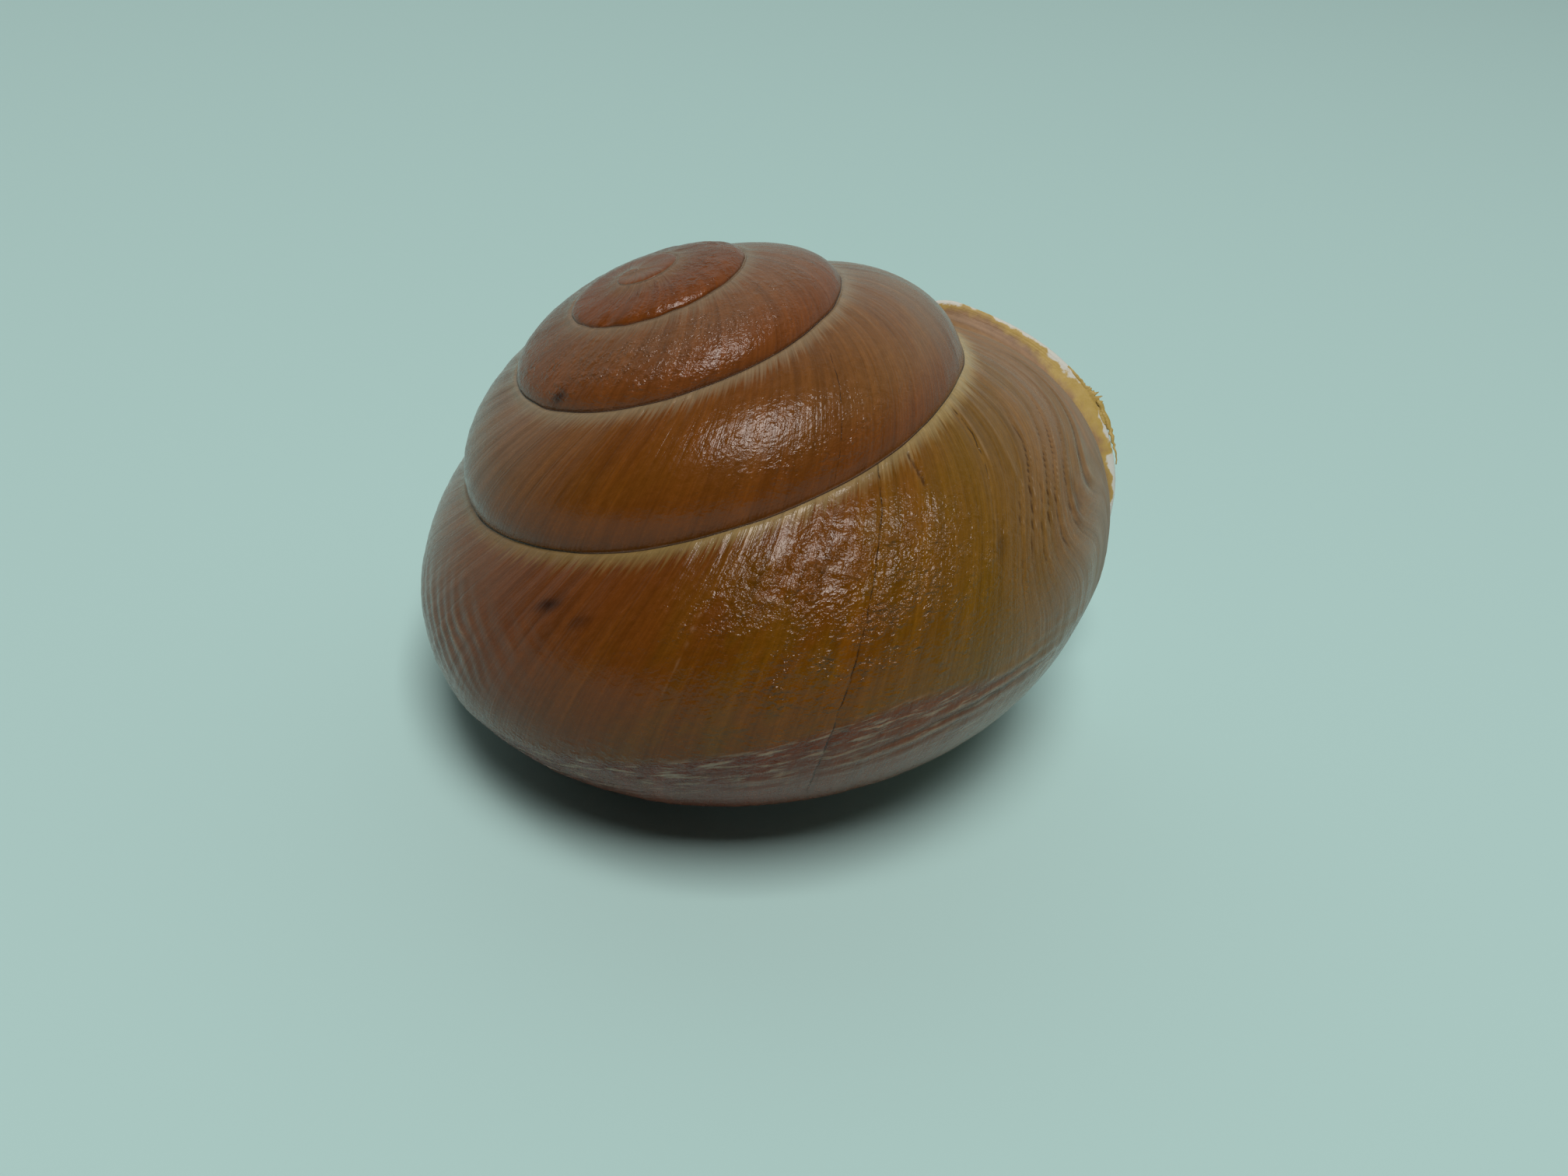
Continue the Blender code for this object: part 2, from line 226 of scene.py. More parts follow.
SKIN_SHARES = (  # what it follows, where it starts and where it is full, and how far it goes
    ("red_growth", "growth", -1.3, -2.3, 0.2),
    ("red_blotch", "blotches", 0.46, 0.66, 1.0),
    ("olive_growth", "growth", -2.6, -1.6, 0.4),
    ("olive_blotch", "blotches", 0.54, 0.38, 1.0),
    # painted shade towards the suture below a turn
    ("shade_over_suture", "above_mm", 4.5, 0.5, 0.75),
    ("beside_suture", "from_suture", 1.0, 0.0, 0.8),
    # painted glints: pale streaks on the wrinkles under the keel, strongest near it
    ("glint_band", "keel_mm", 7.0, -0.2, 0.6),
    ("glint_line", "streaks", 0.5, 0.64, 1.0),
    ("glint_growth", "growth", -4.0, -3.2, 1.0),
    # painted highlight on the crests of the relief, and painted shade in its furrows
    ("crest", "lines", 0.2, 1.2, 0.45),
    ("furrow_shade", "lines", -0.2, -1.2, 0.7),
    # the suture's line: pale wear in the oldest turns, painted shade in its groove in the last
    ("suture", "seam_mm", 0.06, 0.0, 0.9),
    ("dull", "growth", -1.0, -0.3, 0.5),
)
SKIN_COVERS = (  # a share, what limits it, the colours that it lays over, and what they go along
    ("red_growth", "red_blotch", REDDISH, None),
    ("olive_growth", "olive_blotch", OLIVE, None),
    # painted shade towards the suture below a turn
    ("shade_over_suture", 1.0, SHADE_ABOVE_SUTURE, None),
    ("beside_suture", 1.0, BESIDE_SUTURE_COLOURS, "growth"),
    ("below", 1.0, UNDERSIDE_COLOURS, "growth"),
    # painted highlight on the glints and on the crests of the relief
    ("glints", 1.0, PAINTED_HIGHLIGHT, None),
    ("crest", 1.0, PAINTED_HIGHLIGHT, None),
    # painted shade in the furrows
    ("furrow_shade", 1.0, FURROW_SHADE, None),
    # pale wear, then painted shade in the suture's groove
    ("suture", 1.0, SUTURE_WEAR_AND_SHADE, "seam_growth"),
    ("stain", 1.0, STAIN, None),
    # painted shade along the creases
    ("dark_lines", 0.7, CREASE_SHADE, None),
)
SKIN_TONES = (("fine_lines", 0.60), ("bands", 0.75), ("mottle", 0.45))  # how far the tone swings with each
# Heights of the rest of the finest relief
SKIN_BUMPS_MM = (("fine_lines", 0.032), ("grain", 0.012), ("dark_lines", -0.04), ("glints", 0.05))
LEATHER_MM = (0.03, 0.70)  # depth of the folds in smooth skin, and how much more where it is crumpled
FOLDED = (0.40, 0.60, 0.25, 1.0)  # noise where patches of folds start and are full, and their shares there
RAGGED_MM = 0.45  # how far the edges of the frayed and the bare rim stray
FRAYED_SOFT_MM = 0.50
BARE_SOFT_MM = 0.10
HORN_IOR = 1.46
HORN_GLOSS = 0.34  # specular level of horn that is worn to a satin
HORN_ROUGHNESS = (0.15, 0.30)
GLAZE_IOR = 1.53  # as aragonite
OUTER_SIZE_MM = 21.0  # radius at which the widths of lines are worked out

# Camera and studio
CAMERA_PLACE = (-0.00284, -0.08109, 0.06892)
CAMERA_TARGET = (0.00056, -0.00002, 0.00998)
CAMERA_ROLL = math.radians(6.83)
CAMERA_LENS = 33.31
CAMERA_SENSOR = 36.0
CAMERA_NEAR = 0.005
FLOOR_SIZE = 8.0
FLOOR_COLOUR = "#b1d2d1"
SURROUND_COLOUR = "#c8d6d2"
SURROUND_DARK = "#20221f"
DARK_SIDE = (0.0, -0.81, 0.59)
SURROUND_FADE = (-0.10, 0.50)  # it darkens between these, as it faces the dark side
SURROUND_STRENGTH = 0.70
KEY_AZIMUTH = math.radians(9.0)  # from the front, on the viewer's side
KEY_ELEVATION = math.radians(71.5)
KEY_DISTANCE = 1.0
KEY_AIM = (0.0, 0.0, 0.015)
KEY_SIZE = 0.42
KEY_POWER = 8.4
KEY_COLOUR = "#fffaf4"


def smooth_step(x):
    x = np.clip(x, 0.0, 1.0)
    return x * x * (3.0 - 2.0 * x)


def bell(x, middle, half_width):
    return np.exp(-((x - middle) / half_width) ** 2)


def natural_spline(knots, points, at):
    """Points of a smooth curve through the given ones, read at one place."""
    gaps = np.diff(knots)
    count = len(knots)
    system = np.eye(count)
    for i in range(1, count - 1):
        system[i, i - 1:i + 2] = gaps[i - 1], 2.0 * (gaps[i - 1] + gaps[i]), gaps[i]
    slopes = np.diff(points, axis=0) / gaps[:, None, None]
    right = np.zeros_like(points)
    right[1:-1] = 6.0 * np.diff(slopes, axis=0)
    bend = np.linalg.solve(system, right.reshape(count, -1)).reshape(points.shape)
    i = int(np.clip(np.searchsorted(knots, at) - 1, 0, count - 2))
    a = (knots[i + 1] - at) / gaps[i]
    b = 1.0 - a
    curve = (a ** 3 - a) * bend[i] + (b ** 3 - b) * bend[i + 1]
    return a * points[i] + b * points[i + 1] + curve * gaps[i] ** 2 / 6.0


def turns_made(angle):
    """Share of the whole coil made by the turn that ends at this angle's lower seam."""
    return np.maximum(1.0 + angle / (TURN * COIL_TURNS), LEAST_TURNS)


def size_at(growth):
    """Size of the shell when it had grown to this angle, as a share of its full size."""
    return turns_made(growth) ** COIL_POWER


def seam(angle):
    """Radius and height of the seam above the turn at this angle; the lip is at 0."""
    radius = size_at(angle - TURN)
    return np.stack([radius, -SPIRE_DROP / SEAM_RADIUS * radius ** DOME_POWER], axis=-1)


def section_points(angle):
    """The seven points that a turn's outline runs through, from seam to navel."""
    upper = seam(angle)
    lower = seam(angle + TURN)
    gap = lower - upper
    outward = np.stack([-gap[:, 1], gap[:, 0]], axis=-1)
    last_turn = np.clip(1.0 + angle / TURN, 0.0, 1.0)
    first_turn = smooth_step((angle - CROWN_START) / CROWN_FADE_IN)
    start, end, least = CROWN_GAIN
    gain = least + (1.0 - least) * np.clip((angle - start) / (end - start), 0.0, 1.0)
    crown = CROWN * (1.0 - CROWN_LOSS * last_turn) * first_turn * gain
    size = lower[:, 0]
    near_lip = np.clip(1.0 + angle / MOUTH_LIFT_ANGLE, 0.0, 1.0)
    depth = size * (1.0 - MOUTH_LIFT * near_lip ** 2)
    diagonal = math.sqrt(0.5) ** (2.0 / FLANK_EXPONENT)
    flank_radius = BASE_POINT[0] + (1.0 - BASE_POINT[0]) * diagonal
    points = [upper, upper + CROWN_AT * gap + crown[:, None] * outward, lower]
    for radius, height in ((flank_radius, BASE_POINT[1] * diagonal), BASE_POINT, SHOULDER_POINT, NAVEL_POINT):
        points.append(np.stack([size * radius, lower[:, 1] + depth * height], axis=-1))
    return np.stack(points)


def section_lengths():
    points = section_points(np.zeros(1))[:, 0]
    return np.concatenate([[0.0], np.cumsum(np.linalg.norm(np.diff(points, axis=0), axis=1))])


SECTION_MM = section_lengths()[-1] * SEAM_MM  # seam to navel at the lip
KNOTS = section_lengths() / section_lengths()[-1]
PERIPHERY = KNOTS[2]  # share of the outline at the lower seam


def outline(angle, at):
    """Radius, height and outward direction of a turn at one share of its outline."""
    points = section_points(angle)
    here = natural_spline(KNOTS, points, at)
    ahead = natural_spline(KNOTS, points, min(at + SLOPE_STEP, 1.0))
    behind = natural_spline(KNOTS, points, max(at - SLOPE_STEP, 0.0))
    along = ahead - behind
    along /= np.linalg.norm(along, axis=-1, keepdims=True)
    return here, np.stack([-along[:, 1], along[:, 0]], axis=-1)


def to_space(section, angle):
    """Points in space, in metres, from radius and height at each angle."""
    radius, height = section[..., 0], section[..., 1]
    drift = np.clip(height / -DRIFT_FROM + 1.0, 0.0, None) ** DRIFT_POWER
    x = radius * np.cos(angle) * SEAM_RADIUS + drift * APEX_DRIFT[0]
    y = radius * np.sin(angle) * SEAM_RADIUS + drift * APEX_DRIFT[1]
    return np.stack([x, y, height * SEAM_RADIUS], axis=-1)


def direction_in_space(outward, angle):
    x = outward[..., 0] * np.cos(angle)
    y = outward[..., 0] * np.sin(angle)
    return np.stack([x, y, outward[..., 1]], axis=-1)


def lip_lag(at):
    """How far the lip, and each growth line, leans back at a share of the outline."""
    return LIP_LAG[0] * at + LIP_LAG[1] * at ** 2 + LIP_LAG[2] * at ** 3


def inner_lag(at):
    """Where the last turn starts on the underside of the one inside it."""
    return lip_lag(1.0) * (at - PERIPHERY) / (1.0 - PERIPHERY)


def lip_opening(at):
    """How far the lip has opened at a share of the outline, 0 to 1."""
    opened = smooth_step(at / LIP_RISE) * (1.0 - smooth_step((at - LIP_FADE) / (1.0 - LIP_FADE)))
    return LIP_LEAST + (1.0 - LIP_LEAST) * opened


def leaned_angle(angle, at):
    """Angle of each column of the last turn: a growth line, but for the turn's first part."""
    ramp = smooth_step((angle + TURN) / LEAN_IN)
    start = inner_lag(at) if at > PERIPHERY else 0.0
    return angle - start * (1.0 - ramp) - lip_lag(at) * ramp


def growth_length_mm(growth):
    """Length grown along the periphery up to a growth angle."""
    whole = SEAM_MM * TURN * COIL_TURNS / (COIL_POWER + 1.0)
    return whole * turns_made(growth) ** (COIL_POWER + 1.0)


def speckle(x, y, seed):
    """Smooth random field from -1 to 1, with a new value at each whole x and y."""
    table = np.random.default_rng(seed).uniform(-1.0, 1.0, (SPECKLE_CELLS, SPECKLE_CELLS))
    column, row = np.floor(x).astype(int), np.floor(y).astype(int)
    across, down = smooth_step(x - column), smooth_step(y - row)
    corners = [table[(column + i) % SPECKLE_CELLS, (row + j) % SPECKLE_CELLS] for i in (0, 1) for j in (0, 1)]
    near = corners[0] * (1.0 - down) + corners[1] * down
    far = corners[2] * (1.0 - down) + corners[3] * down
    return near * (1.0 - across) + far * across


# Relief of the skin. Places are a growth angle, 0 at the lip, and a share of the outline.
RIBS = (1.5, 15.0, 11, 0.030)  # width along the growth and length down the turn in mm, seed, depth
FINE_RIBS = (0.62, 9.0, 12, 0.022)
SWELLS = (7.0, 6.0, 17, 0.05)
RIB_STRENGTH = (0.45, 0.55)  # on the smallest turns, and how much more at full size
PLEATS = (1.4, 1.1)  # the ribs are stronger within this of a suture, and by this share
LIP_RIBS = (1.15, 1.0)  # they coarsen over this growth angle before the lip, and by this share
SUTURE_DEPTH_MM = 0.06
SUTURE_WIDTH_MM = 0.09
SHELF_MM = 0.03  # the turn's upper edge stands up beside the suture
SHELF = (3.0, 2.0)  # middle and half width of that shelf, in widths of the suture
WANDER_MM = (0.11, 0.9)  # the suture wanders by this, and the skin within this of it
WANDER_SEED = 18
WANDER_PITCH = 6.0  # changes of its way per radian
CREASE_FADES = (0.01, 0.03)  # shares of the outline over which a crease begins and ends
SLANT_FADE = 0.015
CREASE_BENDS_MM = (0.25, 2.5, 13)  # how far a crease sways, over what length, seed
CREASES = (  # growth angle, share where it starts and ends, depth and half width in mm
    (-2.135, 0.0, 0.06, 0.05, 0.16), (-2.105, 0.11, 0.25, -0.035, 0.16),
    (-1.592, 0.0, 0.5, 0.04, 0.16), (-1.165, 0.12, 0.23, 0.04, 0.22),
    (-1.13, 0.0, 0.12, -0.06, 0.2), (-1.085, 0.0, 0.15, 0.05, 0.2),
    (-1.04, 0.0, 0.18, -0.05, 0.22), (-7.45, 0.05, 0.32, -0.03, 0.2),
    (-8.98, 0.02, 0.22, -0.03, 0.24), (-9.56, 0.0, 0.25, 0.03, 0.25),
)
SLANT_CREASE = (-1.455, 0.016, -1.42, 0.065, 0.11, 0.14)  # two places, then depth and half width
ARCS = (-0.78, 0.30, 0.235, 0.085, 0.24)  # the lines near the lip bow back: where, how wide, how far
ARC_LINES = (  # bowed growth angle, share of its middle and half its length, depth in mm
    (-0.46, 0.17, 0.12, 0.1), (-0.58, 0.22, 0.11, 0.08),
    (-0.68, 0.2, 0.1, 0.12), (-0.76, 0.19, 0.08, 0.12),
    (-0.83, 0.23, 0.09, 0.08), (-0.91, 0.17, 0.09, 0.13),
    (-0.99, 0.2, 0.08, 0.09),
)
ARC_HALF_WIDTH_MM = 0.19
ARC_SWAY_MM = (0.3, 30.0, 10.0, 15)  # how far a line sways, how often over the outline and the growth, seed
ARC_CREST = (0.45, 0.6)  # how far beside it a crest stands, and its share of the depth
WRINKLES = (  # middle, half size, slope in degrees, crest spacing and length in mm, depth
    ((-1.86, 0.105), (0.3, 0.045), 20.0, 0.85, 2.2, 0.045),
    ((-1.75, 0.21), (0.5, 0.08), 26.0, 0.9, 1.6, 0.016),
    ((-2.98, 0.185), (0.36, 0.07), 27.0, 0.85, 4.0, 0.06),
    ((-1.15, 0.4), (0.4, 0.04), 8.0, 1.0, 7.0, 0.07),
    ((-1.95, 0.385), (0.8, 0.05), 5.0, 0.8, 5.0, 0.045),
    ((-0.85, 0.225), (0.22, 0.08), 50.0, 0.9, 2.5, 0.03),
    ((-7.65, 0.235), (0.4, 0.05), 14.0, 0.8, 2.6, 0.026),
    ((-8.05, 0.13), (0.45, 0.06), 8.0, 0.8, 1.6, 0.02),
    ((-14.6, 0.16), (1.2, 0.12), 8.0, 0.8, 1.8, 0.03),
    ((-19.0, 0.16), (2.5, 0.14), 4.0, 0.7, 1.8, 0.024),
)
WRINKLE_WAVER = (2.0, 20, 0.55)  # a crest strays over these spacings, first seed, by this share of one
WRINKLE_STRENGTH = (0.55, 0.7, 40, 0.9)  # least depth, share of a length for a change, first seed, the rest
MARKED_DEPTH_MM = 0.08  # a crest this high shows its full painted highlight, a furrow this deep its full painted shade
KEEL = (0.322, 0.085)  # share of the outline, and how far down it has gone at the lip
KEEL_DESCENT = (-1.50, -0.75)
KEEL_REACH = (-3.4, -2.7)  # it comes up over these growth angles
KEEL_HEIGHT_MM = 0.17
KEEL_WIDTH_MM = 1.5
KEEL_EDGE_MM = 0.12  # its edge is rounded by this
UNDER_KEEL_MM = (0.3, 0.9)  # the underside starts this far above the keel and is full after this
UNDERSIDE_FROM = (-6.6, 0.6)  # it shows from this growth angle, fading in over this
KEEL_SWELLS = (0.85, (2.0, 1.0, 14, 0.15))  # share of its height, and how that varies, as in RIBS
SKIN_RISE = (1.0, 4.0)  # the suture deepens over these angles from the coil's start
EDGE_CALM_MM = 0.5  # the relief dies out over this at a suture and at the rim
RIM_CALM_MM = 0.8
DENTS = (  # growth angle, share, radius and depth in mm, share of a ring raised around
    (-1.43, 0.108, 0.9, 0.1, 0.35), (-21.1, 0.288, 0.34, 0.22, 0.0),
)
DENT_RING = (1.5, 0.5)  # middle and half width of that ring, in radii
STAINS = (  # growth angle, share, half length along and down in mm, strength
    (-15.06, 0.268, 0.5, 0.55, 0.95), (-2.66, 0.083, 1.0, 0.6, 0.85),
    (-2.5, 0.105, 0.8, 0.55, 0.5), (-1.16, 0.2, 0.4, 0.9, 0.4),
    (-0.77, 0.245, 0.55, 1.1, 0.4), (-2.05, 0.33, 0.3, 0.2, 0.3),
    (-1.56, 0.33, 0.25, 0.5, 0.6), (-5.2, 0.15, 1.2, 0.6, 0.35),
    (-4.6, 0.62, 1.6, 1.1, 0.35),
)
STAIN_EDGE = (0.5, 0.5, 33)  # how ragged a stain's edge is, over what length in mm, seed
STAIN_APART = 40.0  # keeps the random field's places above zero
LEATHER_PATCHES = (  # growth angle, share, half size in each, strength of the crumpled grain
    (-1.86, 0.105, 0.3, 0.05, 1.0), (-1.47, 0.15, 0.16, 0.05, 1.0),
    (-1.7, 0.23, 0.35, 0.07, 0.7), (-1.3, 0.26, 0.3, 0.09, 0.4),
    (-2.1, 0.345, 0.7, 0.04, 0.8), (-7.9, 0.15, 0.45, 0.09, 0.22),
    (-7.55, 0.24, 0.4, 0.05, 0.4), (-14.4, 0.17, 1.3, 0.11, 0.9),
    (-19.5, 0.17, 2.5, 0.14, 0.7),
)
OCHRE_WIDTHS_MM = (  # share of the outline, width of the frayed skin along the lip
    (0.0, 0.3), (0.1, 0.35), (0.15, 0.5), (0.21, 0.8), (0.3, 1.0), (0.34, 0.6), (0.38, 0.3),
    (1.0, 0.3),
)
BARE_WIDTHS_MM = (  # share of the outline, width of the bare white rim outside it
    (0.0, 0.5), (0.06, 0.25), (0.12, 0.12), (0.2, 0.2), (0.26, 0.32), (0.3, 0.25), (0.34, 0.4),
    (0.4, 0.6), (0.55, 0.5), (1.0, 0.5),
)
FRINGE_REACH_MM = (  # share of the outline, how far the torn skin stands out past the rim
    (0.245, 0.0), (0.265, 0.08), (0.28, 0.2), (0.293, 0.5), (0.3, 0.45), (0.31, 0.12),
    (0.325, 0.0),
)
FRINGE_BASE_MM = 0.45  # it is rooted this far inside the rim
FRINGE_STEPS = 90
FRINGE_ROWS = (0.0, 0.35, 0.7, 1.0)  # shares of the way from its root to its edge
STRAND = (0.296, 0.372, 0.20, 0.48)  # shares at its ends, how far past the rim and how wide in mm
STRAND_SHAPE = (0.35, 0.12, 0.6, 0.5)  # least width as a share, how early it widens, narrowing, sag
STRAND_STEPS = 70
TORN_SKIN_MM = 0.08  # thickness of the dry skin
TEARS = (  # changes over the whole outline, seed, depth of the tears as a share
    (420.0, 51, 0.55), (1100.0, 52, 0.35),
)
TORN_REACH = (0.75, 0.1)  # the torn edge's reach as a share of the whole: its middle, and the least
CURL = (0.06, -0.11, -0.25)  # onward at the root, at the edge, and for each mm of reach
FLUTTER = (160.0, 53, 0.05)  # changes over the outline, seed, and how far the edge waves in mm
STRAND_BEND = (300.0, 54, 0.06)  # the same for the strand's way out
STRAND_CURL = (120.0, 55, 0.10)  # and for its way on
STRAND_DROP_MM = -0.12  # the strand hangs this far behind the rim


def places_apart_mm(growth, at, where, share):
    """How far places are from one growth angle and share, along the growth and down the outline."""
    size = size_at(growth)
    return (growth - where) * size * SEAM_MM, (at - share) * SECTION_MM * size


def keel_place(growth):
    """Share of the outline where the last turn's keel runs."""
    start, end = KEEL_DESCENT
    return KEEL[0] + KEEL[1] * smooth_step((growth - start) / (end - start))


def below_keel(keel_mm):
    """1 on the underside, 0 above the keel."""
    return smooth_step((keel_mm + UNDER_KEEL_MM[0]) / UNDER_KEEL_MM[1])


def bowed_growth(growth, at):
    """Growth angle that a line belongs to, where the lines near the lip bow back."""
    where, half_where, share, half_share, bow = ARCS
    return growth + bow * bell(growth, where, half_where) * bell(at, share, half_share)


def within(at, start, end, fade_in, fade_out):
    """1 between two shares of the outline, fading in up to the start and out up to the end."""
    return smooth_step((at - start) / fade_in + 1.0) * (1.0 - smooth_step((at - end) / fade_out + 1.0))


def waves(along, down, kind):
    """Random waves of this width along, length down, seed and height."""
    width, length, seed, height = kind
    return speckle(along / width, down / length, seed) * height


def line_relief_mm(growth, bowed, at, grown_mm, down_mm):
    """Height in mm of the single lines: creases, the lines that bow near the lip, and wrinkles."""
    size_mm = size_at(growth) * SEAM_MM
    lines = np.zeros_like(growth)
    sway_mm, length_mm, seed = CREASE_BENDS_MM
    bend = sway_mm * speckle(down_mm / length_mm, np.zeros_like(at), seed)
    for crease, start, end, depth, half_width in CREASES:
        reach = within(at, start, end, *CREASE_FADES)
        lines -= depth * reach * bell((growth - crease) * size_mm + bend, 0.0, half_width)
    where, share, end, end_share, depth, half_width = SLANT_CREASE
    path = where + (end - where) * (at - share) / (end_share - share)
    reach = within(at, share, end_share + SLANT_FADE, CREASE_FADES[0], SLANT_FADE)
    lines -= depth * reach * bell((growth - path) * size_mm, 0.0, half_width)
    sway_mm, down_pitch, growth_pitch, seed = ARC_SWAY_MM
    crest_mm, crest_share = ARC_CREST
    for line, share, half_share, depth in ARC_LINES:
        sway = sway_mm * speckle(at * down_pitch, at * 0.0 + line * growth_pitch, seed)
        across_mm = (bowed - line) * size_mm + sway
        crest = crest_share * bell(across_mm, crest_mm, ARC_HALF_WIDTH_MM)
        lines -= depth * bell(at, share, half_share) * (bell(across_mm, 0.0, ARC_HALF_WIDTH_MM) - crest)
    over, first_waver, stray = WRINKLE_WAVER
    least, long, first_strong, more = WRINKLE_STRENGTH
    for number, (middle, half, slope, spacing, length, depth) in enumerate(WRINKLES):
        mask = bell(growth, middle[0], half[0]) * bell(at, middle[1], half[1])
        tilt = math.radians(slope)
        along = grown_mm * math.cos(tilt) + down_mm * math.sin(tilt)
        across = down_mm * math.cos(tilt) - grown_mm * math.sin(tilt)
        waver = waves(along, across, (length, over * spacing, first_waver + number, stray))
        strong = least + np.abs(waves(along, across, (long * length, spacing, first_strong + number, more)))
        lines += depth * mask * strong * np.cos(TURN * (across / spacing + waver))
    return lines


def relief_mm(growth, bowed, at, angle, grown_mm, down_mm, above_mm):
    """How far the skin stands out from the smooth turn in mm, and its lines, for painted highlight and shade.
    """
    size = size_at(growth)
    near_suture = np.exp(-down_mm / PLEATS[0])
    near_lip = smooth_step(1.0 + growth / LIP_RIBS[0])
    strength = RIB_STRENGTH[0] + RIB_STRENGTH[1] * size
    strength *= 1.0 + PLEATS[1] * near_suture + LIP_RIBS[1] * near_lip
    ribs = strength * (waves(grown_mm, down_mm, RIBS) + waves(grown_mm, down_mm, FINE_RIBS))
    lines = line_relief_mm(growth, bowed, at, grown_mm, down_mm)
    on_last = smooth_step((growth - KEEL_REACH[0]) / (KEEL_REACH[1] - KEEL_REACH[0]))
    off_keel = (at - keel_place(growth)) * SECTION_MM
    keel = np.exp(-np.hypot(off_keel, KEEL_EDGE_MM) / KEEL_WIDTH_MM)
    keel *= KEEL_SWELLS[0] + waves(grown_mm, off_keel, KEEL_SWELLS[1])
    height = ribs + lines + KEEL_HEIGHT_MM * on_last * keel
    height += waves(grown_mm, down_mm, SWELLS) * size * (1.0 - near_suture)
    for where, share, radius, depth, ring in DENTS:
        distance = np.hypot(*places_apart_mm(growth, at, where, share)) / radius
        height -= depth * (np.exp(-distance ** 2) - ring * bell(distance, *DENT_RING))
    formed = smooth_step((angle - CROWN_START + SKIN_RISE[0]) / SKIN_RISE[1])
    edge = bell(down_mm, 0.0, SUTURE_WIDTH_MM) + bell(above_mm, 0.0, SUTURE_WIDTH_MM)
    shelf = bell(down_mm, SHELF[0] * SUTURE_WIDTH_MM, SHELF[1] * SUTURE_WIDTH_MM)
    suture = SHELF_MM * shelf - SUTURE_DEPTH_MM * np.minimum(edge, 1.0)
    calm = np.clip(np.minimum(down_mm, above_mm) / EDGE_CALM_MM, 0.0, 1.0)
    return height * calm + formed * suture, lines / MARKED_DEPTH_MM


def stain_share(growth, at):
    """How dark the soft stains are at each place."""
    edge, length, seed = STAIN_EDGE
    stain = np.zeros_like(growth)
    for where, share, half_along, half_down, strength in STAINS:
        along, down = places_apart_mm(growth, at, where, share)
        ragged = 1.0 + edge * speckle(along / length + STAIN_APART, down / length + STAIN_APART, seed)
        stain += strength * np.exp(-((along / half_along) ** 2 + (down / half_down) ** 2) * ragged)
    return stain


def leather_share(growth, at):
    """How crumpled the skin's grain is at each place."""
    patches = [bell(growth, where, half) * bell(at, share, half_share) * strength
               for where, share, half, half_share, strength in LEATHER_PATCHES]
    return np.minimum(sum(patches), 1.0)


def beyond_skin_mm(rim_mm, at):
    """How far a place lies inward of the bare rim, and of the frayed skin, at a share of the outline."""
    bare = rim_mm - np.interp(at, *zip(*BARE_WIDTHS_MM))
    return bare, bare - np.interp(at, *zip(*OCHRE_WIDTHS_MM))


class ShellMesh:
    """Points with their marks, and faces, gathered for one closed mesh."""

    MARKS = ("growth", "at", "grown_mm", "down_mm", "seam_mm", "seam_growth", "above_mm", "bare_mm",
             "frayed_mm", "depth_mm", "stain", "keel_mm", "bowed", "below", "lines", "leather")
    FAR_MARKS = ("seam_mm", "above_mm", "bare_mm", "frayed_mm")

    def __init__(self):
        self.points = []
        self.marks = {name: [] for name in self.MARKS}
        self.count = 0
        self.faces = []
        self.faces_inside = []

    def add(self, points, **marks):
        """Adds points, and gives back their numbers."""
        points = np.atleast_2d(points)
        for name in self.MARKS:
            value = marks.get(name, FAR_MM if name in self.FAR_MARKS else 0.0)
            self.marks[name].append(np.broadcast_to(value, len(points)).astype(float))
        self.points.append(points)
        self.count += len(points)
        return np.arange(self.count - len(points), self.count)

    def add_face(self, corners, inside=False):
        distinct = []
        for corner in corners:
            if corner not in distinct:
                distinct.append(int(corner))
        if len(distinct) > 2:
            self.faces.append(distinct)
            self.faces_inside.append(inside)

    def fan(self, chain, tip, inside=False):
        """Triangles from a chain of points to one tip."""
        for here, after in zip(chain, chain[1:]):
            self.add_face((here, after, tip), inside)

    def fill(self, grid, inside=False):
        """Quads over a grid of point numbers, one column after another."""
        for here, after in zip(grid[:-1], grid[1:]):
            for row in range(len(here) - 1):
                self.add_face((here[row], after[row], after[row + 1], here[row + 1]), inside)

    def stitch(self, left, right, left_at, right_at, inside=False):
        """Triangles between two chains of points, by how far along each point is."""
        i = j = 0
        while i < len(left) - 1 or j < len(right) - 1:
            left_is_next = j == len(right) - 1
            if i < len(left) - 1 and j < len(right) - 1:
                left_is_next = left_at[i + 1] + left_at[i] < right_at[j + 1] + right_at[j]
            if left_is_next:
                self.add_face((left[i], right[j], left[i + 1]), inside)
                i += 1
            else:
                self.add_face((left[i], right[j], right[j + 1]), inside)
                j += 1


def skin_rows(mesh, angles, places, leaned):
    """Adds the skin over these columns, row by row, and gives back its grid of numbers."""
    grid = np.zeros((len(angles), len(places)), int)
    for row, at in enumerate(places):
        angle = leaned_angle(angles, at) if leaned else angles
        grid[:, row] = add_skin(mesh, angle, at)
    return grid


